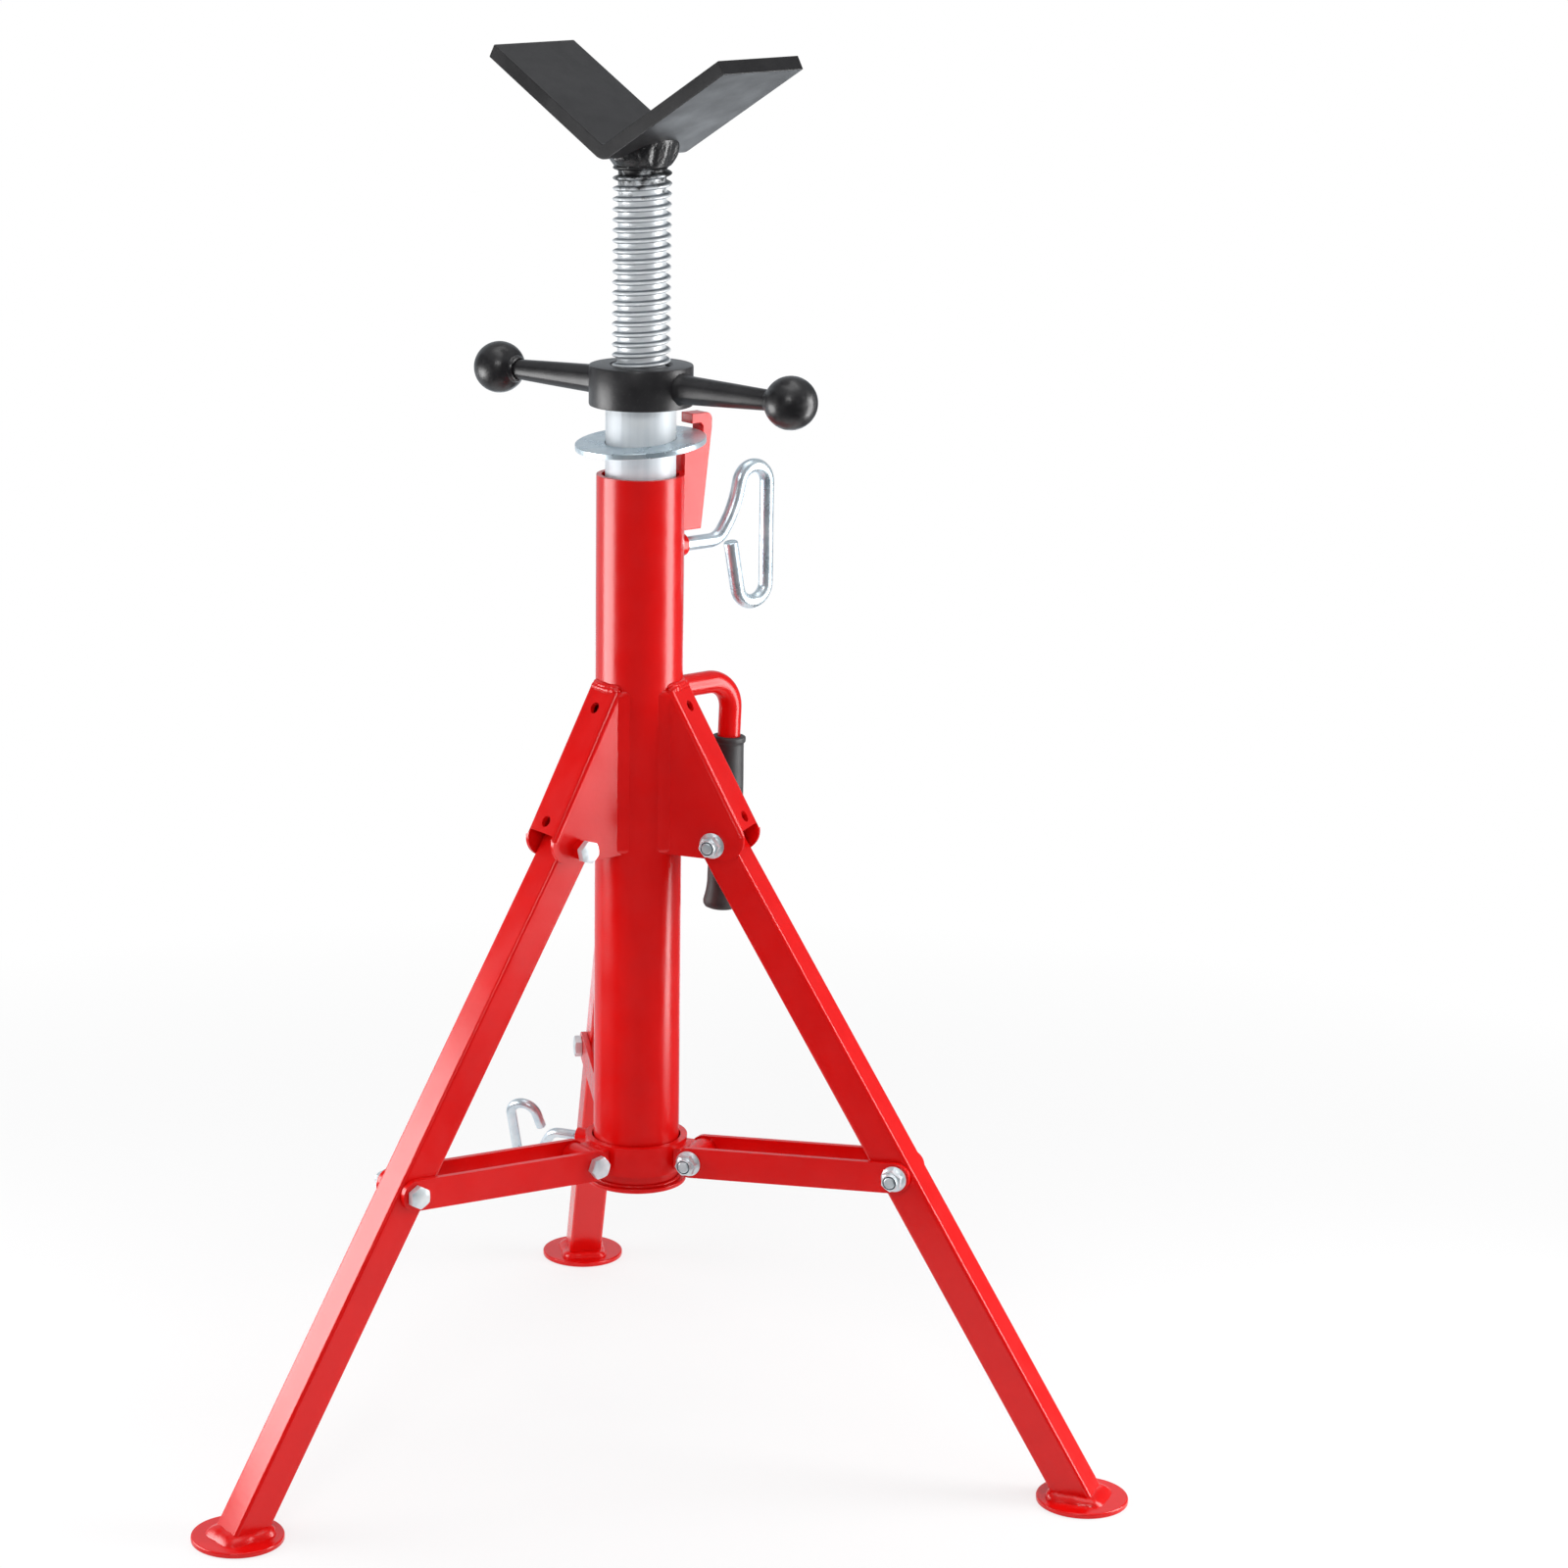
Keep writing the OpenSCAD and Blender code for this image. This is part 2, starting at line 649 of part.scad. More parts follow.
// Bolt end and nut at a leg, each in its own plate, where the linkage is left open
module link_hardware(az) {
    nut_end = -link_seat - nut_h - bolt_past;
    color(zinc) at(az) translate([link_x, 0, link_z]) {
        hex_bolt(link_seat, link_in);
        cross_bar(nut_end, -link_in, bolt_d);
        flange_nut(link_seat);
    }
}

// Ring round the column, with a lug for each pair of links
module collar_ring() {
    color(red) difference() {
        union() {
            translate([0, 0, collar_bottom]) cylinder(h = collar_h, r = collar_r, $fn = 96);
            for (az = leg_azs) at(az) translate([0, 0, collar_z]) {
                translate([lug_out, 0, 0]) cross_bar(-lug_half, lug_half, lug_d);
                translate([collar_bore_r - cross_past, -lug_half, -lug_neck_h / 2])
                    cube([lug_out - collar_bore_r + cross_past, 2 * lug_half, lug_neck_h]);
            }
        }
        translate([0, 0, collar_bottom - past])
            cylinder(h = collar_h + 2 * past, r = collar_bore_r, $fn = 96);
        for (az = leg_azs) at(az) translate([lug_out, 0, collar_z])
            cross_bar(-lug_half - past, lug_half + past, bolt_d + 2 * bolt_clearance);
        at(collar_pin_az) translate([0, 0, collar_pin_z])
            out_bar(collar_bore_r - cross_past, collar_r + cross_past, collar_pin_d + 2 * pin_fit);
    }
}

module collar_boss() {
    color(red) at(collar_pin_az) translate([0, 0, collar_pin_z]) difference() {
        out_bar(collar_bore_r + collar_wall / 2, collar_boss_out, collar_boss_d);
        out_bar(collar_bore_r, collar_boss_out + past, collar_pin_d + 2 * pin_fit);
        translate([0, 0, -collar_h]) cylinder(h = 2 * collar_h, r = collar_r, $fn = 96);
    }
}

module collar_bolts() {
    color(zinc) for (az = leg_azs) at(az) translate([lug_out, 0, collar_z])
        hex_bolt(link_seat, -link_seat - nut_h - bolt_past);
}

module collar_nuts() {
    color(zinc) for (az = leg_azs) at(az) translate([lug_out, 0, collar_z]) flange_nut(link_seat);
}

module collar_pin() {
    color(zinc) at(collar_pin_az) translate([collar_tip, 0, collar_pin_z])
        rotate([collar_loop_turn, 0, 0]) loop_pin(collar_pin_d, collar_pin_len, collar_loop);
}

module inner_tube() {
    color(zinc) difference() {
        translate([0, 0, inner_top - inner_len]) cylinder(h = inner_len, r = inner_r, $fn = 96);
        translate([0, 0, inner_top - inner_len - past])
            cylinder(h = inner_len + 2 * past, r = inner_bore_r, $fn = 96);
        at(pin_az) for (i = [0 : hole_count - 1]) translate([0, 0, pin_z - i * hole_pitch])
            out_bar(-inner_od, inner_od, pin_d + 2 * hole_clearance);
    }
}

// Hub over the tube's end, carrying two arms and the studs for their knobs
module jack_nut() {
    color(black) {
        difference() {
            translate([0, 0, hub_bottom]) {
                cylinder(h = hub_chamfer, d1 = hub_d - 2 * hub_chamfer, d2 = hub_d);
                translate([0, 0, hub_chamfer]) cylinder(h = hub_h - 2 * hub_chamfer, d = hub_d);
                translate([0, 0, hub_h - hub_chamfer])
                    cylinder(h = hub_chamfer, d1 = hub_d, d2 = hub_d - 2 * hub_chamfer);
            }
            translate([0, 0, hub_bottom - past]) cylinder(h = hub_recess + past, r = inner_r + nut_fit);
            translate([0, 0, hub_bottom]) cylinder(h = hub_h + past, r = screw_d / 2 + nut_fit);
        }
        for (az = [arm_az, arm_az + 180]) at(az) translate([0, 0, arm_z]) {
            translate([hub_d / 2 - arm_root, 0, 0]) rotate([0, 90, 0])
                cylinder(h = knob_face - hub_d / 2 + arm_root, d1 = arm_d, d2 = arm_tip_d);
            out_bar(knob_face - past, knob_face + stud_len, stud_d);
        }
    }
}

module knobs() {
    color(black) for (az = [arm_az, arm_az + 180]) at(az) translate([0, 0, arm_z]) difference() {
        translate([knob_out, 0, 0]) sphere(d = knob_d);
        translate([0, -knob_d, -knob_d]) cube([knob_face, 2 * knob_d, 2 * knob_d]);
        out_bar(knob_face - past, knob_face + stud_len + stud_room, stud_d + 2 * rod_fit);
    }
}

// Everything above the underside of the V, for cutting what is welded below it
module above_v() {
    reach = 2 * screw_d;
    foot_pt = v_outer_r * [sin(v_rise), -cos(v_rise)];
    far_pt = foot_pt + reach * [cos(v_rise), sin(v_rise)];
    rotate(head_az) rotate([90, 0, 90]) linear_extrude(3 * screw_d, center = true)
        translate([0, v_centre_z]) {
            polygon([foot_pt, far_pt, [-far_pt[0], far_pt[1]], [-foot_pt[0], foot_pt[1]], [0, 0]]);
            circle(v_outer_r);
        }
}

// Thread grooves at the true pitch and depth, with the top end shaped to the V
module jack_screw() {
    r = screw_d / 2;
    root = r - thread_depth;
    flank = thread_depth * tan(15);
    flat = pitch / 2 - flank;
    profile = [for (i = [0 : thread_turns - 1]) let (z = thread_top - i * pitch)
        each [[r, z], [root, z - flank], [root, z - flank - flat], [r, z - 2 * flank - flat]]];
    color(zinc) difference() {
        rotate_extrude() polygon(concat(
            [[0, screw_bottom], [0, head_bottom + screw_d / 2], [r, head_bottom + screw_d / 2]],
            profile, [[r, screw_bottom + 1], [r - 1, screw_bottom]]));
        above_v();
    }
}

module v_weld() {
    r = screw_d / 2;
    shoulder = 5;
    // Well above the underside of the V, which trims the weld
    top = 1.5 * r;
    color(black) difference() {
        translate([0, 0, thread_top]) rotate_extrude() polygon([
            [r, 0.1 * shoulder], [r + weld_w * 0.6, 0.3 * shoulder], [r + weld_w, shoulder],
            [r + weld_w * 1.3, top], [r, top]]);
        above_v();
    }
}

// Points of an arc about the origin, from one angle to another
function arc(r, from, to, n = 16) = [for (i = [0 : n]) let (a = from + (to - from) * i / n)
    r * [cos(a), sin(a)]];

// Two flat arms with one bend between them, as one outline
module v_plate() {
    arm = (v_arm - v_bend_r * tan(v_rise)) * [cos(v_rise), sin(v_rise)];
    outer = arc(v_outer_r, -90 - v_rise, -90 + v_rise);
    inner = arc(v_bend_r, -90 + v_rise, -90 - v_rise);
    left = [-arm[0], arm[1]];
    color(black) rotate(head_az) rotate([90, 0, 90]) linear_extrude(v_len, center = true)
        translate([0, v_centre_z])
        polygon(concat([outer[0] + left], outer, [outer[len(outer) - 1] + arm, inner[0] + arm],
            inner, [inner[len(inner) - 1] + left]));
}

module brake_ring() {
    color(zinc) at(pin_az) translate([0, 0, ring_z]) rotate([0, -ring_tilt, 0]) difference() {
        translate([0, 0, -ring_t / 2]) cylinder(h = ring_t, d = ring_od, $fn = 96);
        translate([0, 0, -ring_t / 2 - past]) cylinder(h = ring_t + 2 * past, d = ring_bore_d, $fn = 96);
    }
}

module height_pin() {
    color(zinc) at(pin_az) translate([pin_tip, 0, pin_z]) loop_pin(pin_d, pin_len, height_loop);
}

column_tube();
stop_ring();
height_pin_boss();
ring_hook();
carry_handle();
handle_grip();
bracket(leg_azs[0]);  // bracket_1
bracket(leg_azs[1]);  // bracket_2
bracket(leg_azs[2]);  // bracket_3
bracket_weld_nuts();
pivot_bolts();
pivot_nuts();
leg_tube(leg_azs[0]);  // leg_tube_1
leg_tube(leg_azs[1]);  // leg_tube_2
leg_tube(leg_azs[2]);  // leg_tube_3
foot(leg_azs[0]);  // foot_1
foot(leg_azs[1]);  // foot_2
foot(leg_azs[2]);  // foot_3
leg_bush(leg_azs[0]);  // leg_bush_1
leg_bush(leg_azs[1]);  // leg_bush_2
leg_bush(leg_azs[2]);  // leg_bush_3
link_plates(leg_azs[0]);  // link_plates_1
link_plates(leg_azs[1]);  // link_plates_2
link_plates(leg_azs[2]);  // link_plates_3
link_hardware(leg_azs[0]);  // link_hardware_1
link_hardware(leg_azs[1]);  // link_hardware_2
link_hardware(leg_azs[2]);  // link_hardware_3
collar_ring();
collar_boss();
collar_bolts();
collar_nuts();
collar_pin();
inner_tube();
jack_nut();
knobs();
jack_screw();
v_plate();
v_weld();
brake_ring();
height_pin();
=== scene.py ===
"""Pipe jack stand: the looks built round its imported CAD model.

Lengths of the stand are in millimetres and become metres where a mesh is made. The camera, the
lamps and the stage are in metres. Beside an angle called az, local x is the distance out from the
column and local y runs anticlockwise round it.
"""

import json
import math
import random

import bmesh
import bpy
from mathutils import Matrix, Vector

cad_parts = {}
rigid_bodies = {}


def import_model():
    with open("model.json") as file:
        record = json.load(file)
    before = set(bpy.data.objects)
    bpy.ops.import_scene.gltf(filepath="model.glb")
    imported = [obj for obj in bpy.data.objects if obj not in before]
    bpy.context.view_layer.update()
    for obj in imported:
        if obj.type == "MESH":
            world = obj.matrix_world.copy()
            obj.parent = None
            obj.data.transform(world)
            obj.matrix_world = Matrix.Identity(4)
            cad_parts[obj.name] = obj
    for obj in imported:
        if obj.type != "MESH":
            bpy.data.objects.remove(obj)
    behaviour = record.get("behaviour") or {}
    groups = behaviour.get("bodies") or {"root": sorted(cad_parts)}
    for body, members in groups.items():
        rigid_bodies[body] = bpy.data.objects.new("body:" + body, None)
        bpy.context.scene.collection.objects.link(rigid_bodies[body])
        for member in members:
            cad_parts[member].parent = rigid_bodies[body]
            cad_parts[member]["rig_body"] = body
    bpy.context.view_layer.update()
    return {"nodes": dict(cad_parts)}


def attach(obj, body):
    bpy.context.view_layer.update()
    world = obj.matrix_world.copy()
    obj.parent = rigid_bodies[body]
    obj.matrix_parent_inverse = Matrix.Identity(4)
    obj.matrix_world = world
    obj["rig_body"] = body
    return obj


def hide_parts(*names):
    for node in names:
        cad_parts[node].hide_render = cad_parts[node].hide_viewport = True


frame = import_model()

MM = 0.001
SCENE = bpy.context.scene

# Cloths round the stand that only reflections show: azimuths from and to, and brightness
CLOTHS = ((150, 375, 0.035), (375, 418, 0.16), (418, 510, 0.7))
# A cloth's section as (radius, height): it lies on the floor, then hangs behind it
HANGING = ((0.5, 0.002), (5.0, 0.002), (5.2, 4.4))
# A pale sheet behind the stand lies flat
FLAT_SHEET = ((0.9, 0.003), (1.8, 0.003), (2.7, 0.003))
# The floor lies just under the feet
FLOOR_HALF, FLOOR_Z = 60, -0.0004
CORNERS = ((-1, -1), (1, -1), (1, 1), (-1, 1))

# Sizes that the CAD source also states
COLUMN_R, COLUMN_LOW, COLUMN_BORE_R = 30.15, 184.5, 26.55
INNER_R = 24.15
LEG_AZS = (210, 330, 90)
LEG_LEAN, LEG_W = 31.8, 25.0
PIVOT_OUT, PIVOT_Z = 61.5, 438.3
FOOT_OUT, FOOT_T = 333.26, 3.5
WEB_LEAN, WEB_OUT, SHEET_T = 29.0, 24.5, 3.0
CHEEK_OUT, CHEEK_LOW = 16.0, 428.5
LINK_X, LINK_Z = 198.14, 217.92
LUG_OUT, COLLAR_Z, COLLAR_R = 46.7, 207.0, 35.95
LINK_IN, LINK_SEAT = 12.8, 16.95
BOLT_R, HEX_AF, HEAD_H = 4.0, 13.0, 5.3
NUT_H, NUT_FLANGE_R, BOLT_PAST, WELD_NUT_H = 8.0, 8.95, 2.5, 6.5
HUB_R, HUB_LOW, HUB_TOP, HUB_RECESS = 35.5, 736.78, 764.58, 12.0
ARM_AZ, ARM_Z, KNOB_OUT, KNOB_R, KNOB_FACE = 134.2, 750.68, 125.9, 18.0, 109.7
SCREW_R, THREAD_PITCH, THREAD_DEPTH = 20.0, 7.0, 3.75
SCREW_LOW, THREAD_TOP, HEAD_LOW = 704.6, 897.9, 904.6
HEAD_AZ, V_RISE, V_CENTRE_Z, V_OUTER_R = 37.7, 30.0, 918.01, 13.4
PIN_AZ, PIN_Z, PIN_TIP, PIN_R, PIN_STRAIGHT = 30, 636.5, 25.35, 5.0, 34.9
COLLAR_PIN_AZ, COLLAR_PIN_Z, COLLAR_PIN_TIP = 150, 209.0, 30.65
COLLAR_PIN_R, COLLAR_PIN_STRAIGHT, COLLAR_LOOP_TURN = 3.5, 28.6, 161
HEIGHT_LOOP = [(14, 52), (75, 28), (12.5, -170), (71,), (12.7, -169), (34,)]
COLLAR_LOOP = [(10, 52), (52, 28), (9, -170), (37,), (10.2, -169), (10,)]
HANDLE_R, HANDLE_Z, HANDLE_OUT, HANDLE_BEND_R = 8.0, 536.0, 80.5, 20.0
GRIP_LEAN, GRIP_DROP, GRIP_LEN = 2.5, 40.0, 125.0
HOOK_HALF, HOOK_LOW = 6.0, 647.3

# Heads and lock nuts as the photograph shows them: across flats, the nut's hexagon, collar and top
HEAD_AF, NUT_HEX_TOP, NUT_COLLAR_R, NUT_TOP = 14.0, 7.2, 5.5, 10.0
# The height pin's boss as the photograph shows it: radius, inner end and outer end
PIN_BOSS_R, BOSS_START, BOSS_END = 8.0, 24.5, 37.6
# The sheet of a bracket is cut level here, and weld fills the step to the column
BRACKET_TOP = 543.5
# Pitch and depth of a small bolt's thread, and how much of a bolt is threaded
BOLT_PITCH, BOLT_GROOVE, BOLT_THREAD = 1.25, 0.55, 14
# Turn of each leg's bolts at the pivot, the collar and the link
CLOCKS = ((13, 39, 0), (22, 34, 47), (41, 53, 66))
# Height of a weld bead as a share of its width
BEAD_FLAT = 0.9
# Merging distance in metres, and the angles in degrees of what is flat and of an edge to round
MERGE, FLAT, EDGE = 2e-6, 0.6, 35

# Pieces that hold one fastener of each leg: finish, body and the nodes replaced
FASTENERS = {
    "pivot_bolts_detail": ("zinc_bolt", "column", ("pivot_bolts",)),
    "pivot_nuts_detail": ("zinc_bolt", "column", ("pivot_nuts",)),
    "weld_nuts_detail": ("red_paint", "column", ("bracket_weld_nuts",)),
    "collar_bolts_detail": ("zinc_bolt", "collar", ("collar_bolts",)),
    "collar_nuts_detail": ("zinc_bolt", "collar", ("collar_nuts",)),
    "pivot_nut_inserts": ("nut_plastic", "column", ()),
    "collar_nut_inserts": ("nut_plastic", "collar", ()),
}
# CAD nodes shown with rounded edges: finish, width of the rounding, and 3 for one a leg
DRESSED = (
    ("column_tube", "red_paint", 0.6, 0), ("stop_ring", "red_paint", 0.6, 0),
    ("ring_hook", "red_paint", 0.7, 0), ("bracket", "red_paint", 0.5, 3),
    ("leg_tube", "red_paint", 0.4, 3), ("foot", "red_paint", 0.4, 3),
    ("leg_bush", "zinc_plate", 0, 3), ("link_plates", "red_paint", 1.0, 3),
    ("collar_ring", "red_paint", 0.6, 0), ("collar_boss", "red_paint", 0.4, 0),
    ("inner_tube", "zinc_tube", 0.5, 0), ("v_plate", "black_paint", 0.55, 0),
    ("brake_ring", "zinc_plate", 0.5, 0),
)


# Camera, light and stage

def make_camera():
    """Camera at the photograph's own place, with the small shift that its framing needs."""
    focal, image = 4050.0, 1600.0
    place = Vector((-0.3376, -2.6420, 1.1521))
    yaw, pitch, roll = -0.1159, 0.2243, 0.0040
    ahead = Vector((-math.sin(yaw) * math.cos(pitch), math.cos(yaw) * math.cos(pitch),
                    -math.sin(pitch)))
    level = Vector((math.cos(yaw), math.sin(yaw), 0))
    upright = level.cross(ahead)
    right = math.cos(roll) * level + math.sin(roll) * upright
    up = math.cos(roll) * upright - math.sin(roll) * level
    data = bpy.data.cameras.new("camera")
    data.sensor_width = 36
    data.lens = focal * data.sensor_width / image
    data.shift_x, data.shift_y = 0.12, -0.0655
    data.clip_start, data.clip_end = 0.01, 100
    camera = bpy.data.objects.new("camera", data)
    camera.matrix_world = Matrix((
        (right.x, up.x, -ahead.x, place.x),
        (right.y, up.y, -ahead.y, place.y),
        (right.z, up.z, -ahead.z, place.z),
        (0, 0, 0, 1)))
    SCENE.collection.objects.link(camera)
    SCENE.camera = camera


def node(tree, kind, inputs=None, **settings):
    """Add a shader node. An input given as a socket is linked, any other value is set."""
    made = tree.nodes.new(kind)
    for key, value in settings.items():
        setattr(made, key, value)
    for key, value in (inputs or {}).items():
        if isinstance(value, bpy.types.NodeSocket):
            tree.links.new(value, made.inputs[key])
        else:
            made.inputs[key].default_value = value
    return made


def seen_directly(tree):
    """1 for rays that come from the camera or by way of a mirror-like or clear surface."""
    path = node(tree, "ShaderNodeLightPath")
    either = node(tree, "ShaderNodeMath", {0: path.outputs["Is Camera Ray"],
                                           1: path.outputs["Is Glossy Ray"]}, operation="MAXIMUM")
    return node(tree, "ShaderNodeMath", {0: either.outputs[0],
                                         1: path.outputs["Is Transmission Ray"]},
                operation="MAXIMUM").outputs[0]


def make_world():
    """White to the camera, and a plain even light on the object."""
    world = bpy.data.worlds.new("studio")
    world.use_nodes = True
    SCENE.world = world
    tree = world.node_tree
    tree.nodes.clear()
    white = node(tree, "ShaderNodeBackground", {"Color": (1, 1, 1, 1), "Strength": 1.0})
    fill = node(tree, "ShaderNodeBackground", {"Color": (0.97, 0.98, 1, 1), "Strength": 0.45})
    path = node(tree, "ShaderNodeLightPath").outputs
    plain = node(tree, "ShaderNodeMath", {0: path["Is Camera Ray"], 1: path["Is Transmission Ray"]},
                 operation="MAXIMUM")
    mix = node(tree, "ShaderNodeMixShader", {0: plain.outputs[0], 1: fill.outputs[0],
                                             2: white.outputs[0]})
    node(tree, "ShaderNodeOutputWorld", {"Surface": mix.outputs[0]})


def soft_box(name, place, width, tall, power, target=(0, 0, 0.45)):
    """Soft box that faces the stand. Only its light and its reflection show."""
    data = bpy.data.lights.new(name, "AREA")
    data.shape = "RECTANGLE"
    data.size, data.size_y = width, tall
    data.energy = power
    light = bpy.data.objects.new(name, data)
    light.location = place
    light.rotation_euler = (Vector(target) - Vector(place)).to_track_quat("-Z", "Y").to_euler()
    light.visible_camera = False
    SCENE.collection.objects.link(light)


def stage_piece(name, verts, faces, mat):
    """Piece of the stage, with one material."""
    mesh = bpy.data.meshes.new(name)
    mesh.from_pydata(verts, [], faces)
    mesh.materials.append(mat)
    made = bpy.data.objects.new(name, mesh)
    SCENE.collection.objects.link(made)
    return made


def empty_material(name):
    """Material without nodes, and its node tree."""
    mat = bpy.data.materials.new(name)
    mat.use_nodes = True
    mat.node_tree.nodes.clear()
    return mat, mat.node_tree


def glow_material(name, colour, level):
    """Plain glow of one colour."""
    mat, tree = empty_material(name)
    glow = node(tree, "ShaderNodeEmission", {"Color": (*colour, 1), "Strength": level})
    node(tree, "ShaderNodeOutputMaterial", {"Surface": glow.outputs[0]})
    return mat


def reflection_only(made):
    """Let only mirror-like surfaces see a piece of the stage."""
    made.visible_camera = False
    made.visible_diffuse = False
    made.visible_shadow = False
    made.visible_transmission = False


def glow_card(name, place, width, tall, level):
    """Upright card in front of a soft box, which lifts the box's reflection and lights nothing."""
    in_front = 0.99
    middle = Vector((place[0], place[1], 0)) * in_front
    along = Vector((-place[1], place[0], 0)).normalized() * width / 2
    verts = [middle + along * side + Vector((0, 0, place[2] + tall / 2 * up)) for side, up in CORNERS]
    reflection_only(stage_piece(name, verts, [(0, 1, 2, 3)], glow_material(name, (1, 1, 1), level)))


def floor_material():
    """White paper: it keeps the shadow near the object and is plain white further out."""
    mat, tree = empty_material("floor_white")
    paper = node(tree, "ShaderNodeBsdfDiffuse", {"Color": (0.86, 0.86, 0.86, 1)})
    glow = node(tree, "ShaderNodeEmission", {"Color": (1, 1, 1, 1), "Strength": 1.0})
    place = node(tree, "ShaderNodeTexCoord").outputs["Object"]
    away = node(tree, "ShaderNodeVectorMath", {0: place}, operation="LENGTH").outputs["Value"]
    plain = spread(tree, away, 0.45, 1.3, 0.72, 1.0)
    share = node(tree, "ShaderNodeMath", {0: seen_directly(tree), 1: plain}, operation="MULTIPLY")
    mix = node(tree, "ShaderNodeMixShader", {0: share.outputs[0], 1: paper.outputs[0],
                                             2: glow.outputs[0]})
    node(tree, "ShaderNodeOutputMaterial", {"Surface": mix.outputs[0]})
    return mat


def make_cloth(name, section, start, end, level):
    """Cloth with the given section over part of the turn."""
    verts, faces = [], []
    steps, per = 12, len(section)
    for i in range(steps + 1):
        a = math.radians(start + (end - start) * i / steps)
        verts += [(radius * math.cos(a), radius * math.sin(a), z) for radius, z in section]
    for i in range(steps):
        for k in range(per * i, per * i + per - 1):
            faces.append((k, k + per, k + per + 1, k + 1))
    reflection_only(stage_piece(name, verts, faces, glow_material(name, (0.88, 0.94, 1), level)))


def make_stage():
    """Pale floor, soft boxes, and cloths round the stand."""
    stage_piece("floor", [(FLOOR_HALF * x, FLOOR_HALF * y, FLOOR_Z) for x, y in CORNERS],
                [(0, 1, 2, 3)], floor_material())
    for number, (start, end, level) in enumerate(CLOTHS, 1):
        make_cloth(f"cloth_{number}", HANGING, start, end, level)
    make_cloth("sheet_under_v", FLAT_SHEET, 58, 98, 1.7)
    for name, place, width, tall, power, glow in (
            ("left", (-0.945, 0.10, 0.42), 0.62, 0.42, 5.0, 9.0),
            ("right", (0.93, -0.20, 0.52), 0.38, 1.04, 8.0, 9.5)):
        soft_box("box_" + name, place, width, tall, power, (0, 0, place[2]))
        glow_card("card_" + name, place, width, tall, glow)
    # A dark flag above the left card, for the faces of the left leg and bracket that look up
    glow_card("flag_left", (-0.92, 0.40, 0.97), 0.8, 0.56, 0.035)
    soft_box("fill_front", (-0.9, -2.9, 2.2), 0.8, 0.8, 22)
    soft_box("top", (0.1, -0.2, 2.9), 1.8, 1.8, 22)


# Materials

def pattern(tree, scale, detail, roughness=0.55, stretch=(1, 1, 1)):
    """Noise in the object's own coordinates, with its scale per metre."""
    place = node(tree, "ShaderNodeTexCoord").outputs["Object"]
    if stretch != (1, 1, 1):
        place = node(tree, "ShaderNodeMapping", {"Vector": place, "Scale": stretch}).outputs[0]
    made = node(tree, "ShaderNodeTexNoise", {"Vector": place, "Scale": scale, "Detail": detail,
                                             "Roughness": roughness})
    return made.outputs["Fac"]


def spread(tree, value, low, high, out_low, out_high):
    """Map a value's range low to high onto out_low to out_high."""
    made = node(tree, "ShaderNodeMapRange", {"Value": value, "From Min": low, "From Max": high,
                                             "To Min": out_low, "To Max": out_high})
    return made.outputs[0]


def blend_colours(tree, factor, first, second):
    """Mix of two colours, from the first at factor 0 to the second at 1."""
    made = node(tree, "ShaderNodeMix", data_type="RGBA")
    sockets = {s.identifier: s for s in made.inputs}
    for key, value in (("Factor_Float", factor), ("A_Color", first), ("B_Color", second)):
        if isinstance(value, bpy.types.NodeSocket):
            tree.links.new(value, sockets[key])
        elif key == "Factor_Float":
            sockets[key].default_value = value
        else:
            sockets[key].default_value = (*value, 1)
    return {s.identifier: s for s in made.outputs}["Result_Color"]


def mix_over(tree, value, first, second, low=0.35, high=0.7):
    """Go from the first colour to the second over a value's range low to high."""
    return blend_colours(tree, spread(tree, value, low, high, 0, 1), first, second)


def add_bump(tree, height, strength, distance, before=None):
    """Bump with its distance in millimetres, on top of the one before it."""
    inputs = {"Height": height, "Strength": strength, "Distance": distance * MM}
    if before is not None:
        inputs["Normal"] = before
    return node(tree, "ShaderNodeBump", inputs).outputs[0]


def new_material(name, **constants):
    """Material whose shader has the given constants, and its node tree."""
    mat = bpy.data.materials.new(name)
    mat.use_nodes = True
    inputs = mat.node_tree.nodes["Principled BSDF"].inputs
    for key, value in constants.items():
        inputs[key.replace("_", " ")].default_value = value
    return mat, mat.node_tree


def finish_material(mat, **sources):
    """Link the shader's inputs to the sockets that they come from."""
    inputs = mat.node_tree.nodes["Principled BSDF"].inputs
    for key, source in sources.items():
        mat.node_tree.links.new(source, inputs[key.replace("_", " ")])
    return mat


def red_paint(name, lumps=0.0):
    """Glossy red powder coat: faint orange peel, cloudy gloss and depth, and a few dust nibs."""
    mat, tree = new_material(name, Specular_IOR_Level=0.38)
    depth = mix_over(tree, pattern(tree, 16, 3), (0.640, 0.0016, 0.0014), (0.710, 0.0032, 0.0026), 0.3)
    speck = spread(tree, pattern(tree, 900, 2), 0.62, 0.74, 0, 0.35)
    colour = blend_colours(tree, speck, depth, (0.74, 0.008, 0.006))
    gloss = spread(tree, pattern(tree, 55, 4), 0.3, 0.7, 0.19, 0.26)
    peel = add_bump(tree, pattern(tree, 330, 2), 0.10, 0.5)
    nibs = add_bump(tree, spread(tree, pattern(tree, 700, 1), 0.70, 0.80, 0, 1), 0.12, 0.2, peel)
    if lumps:
        nibs = add_bump(tree, pattern(tree, 420, 4, 0.6), lumps, 0.8, nibs)
    return finish_material(mat, Base_Color=colour, Roughness=gloss, Normal=nibs)


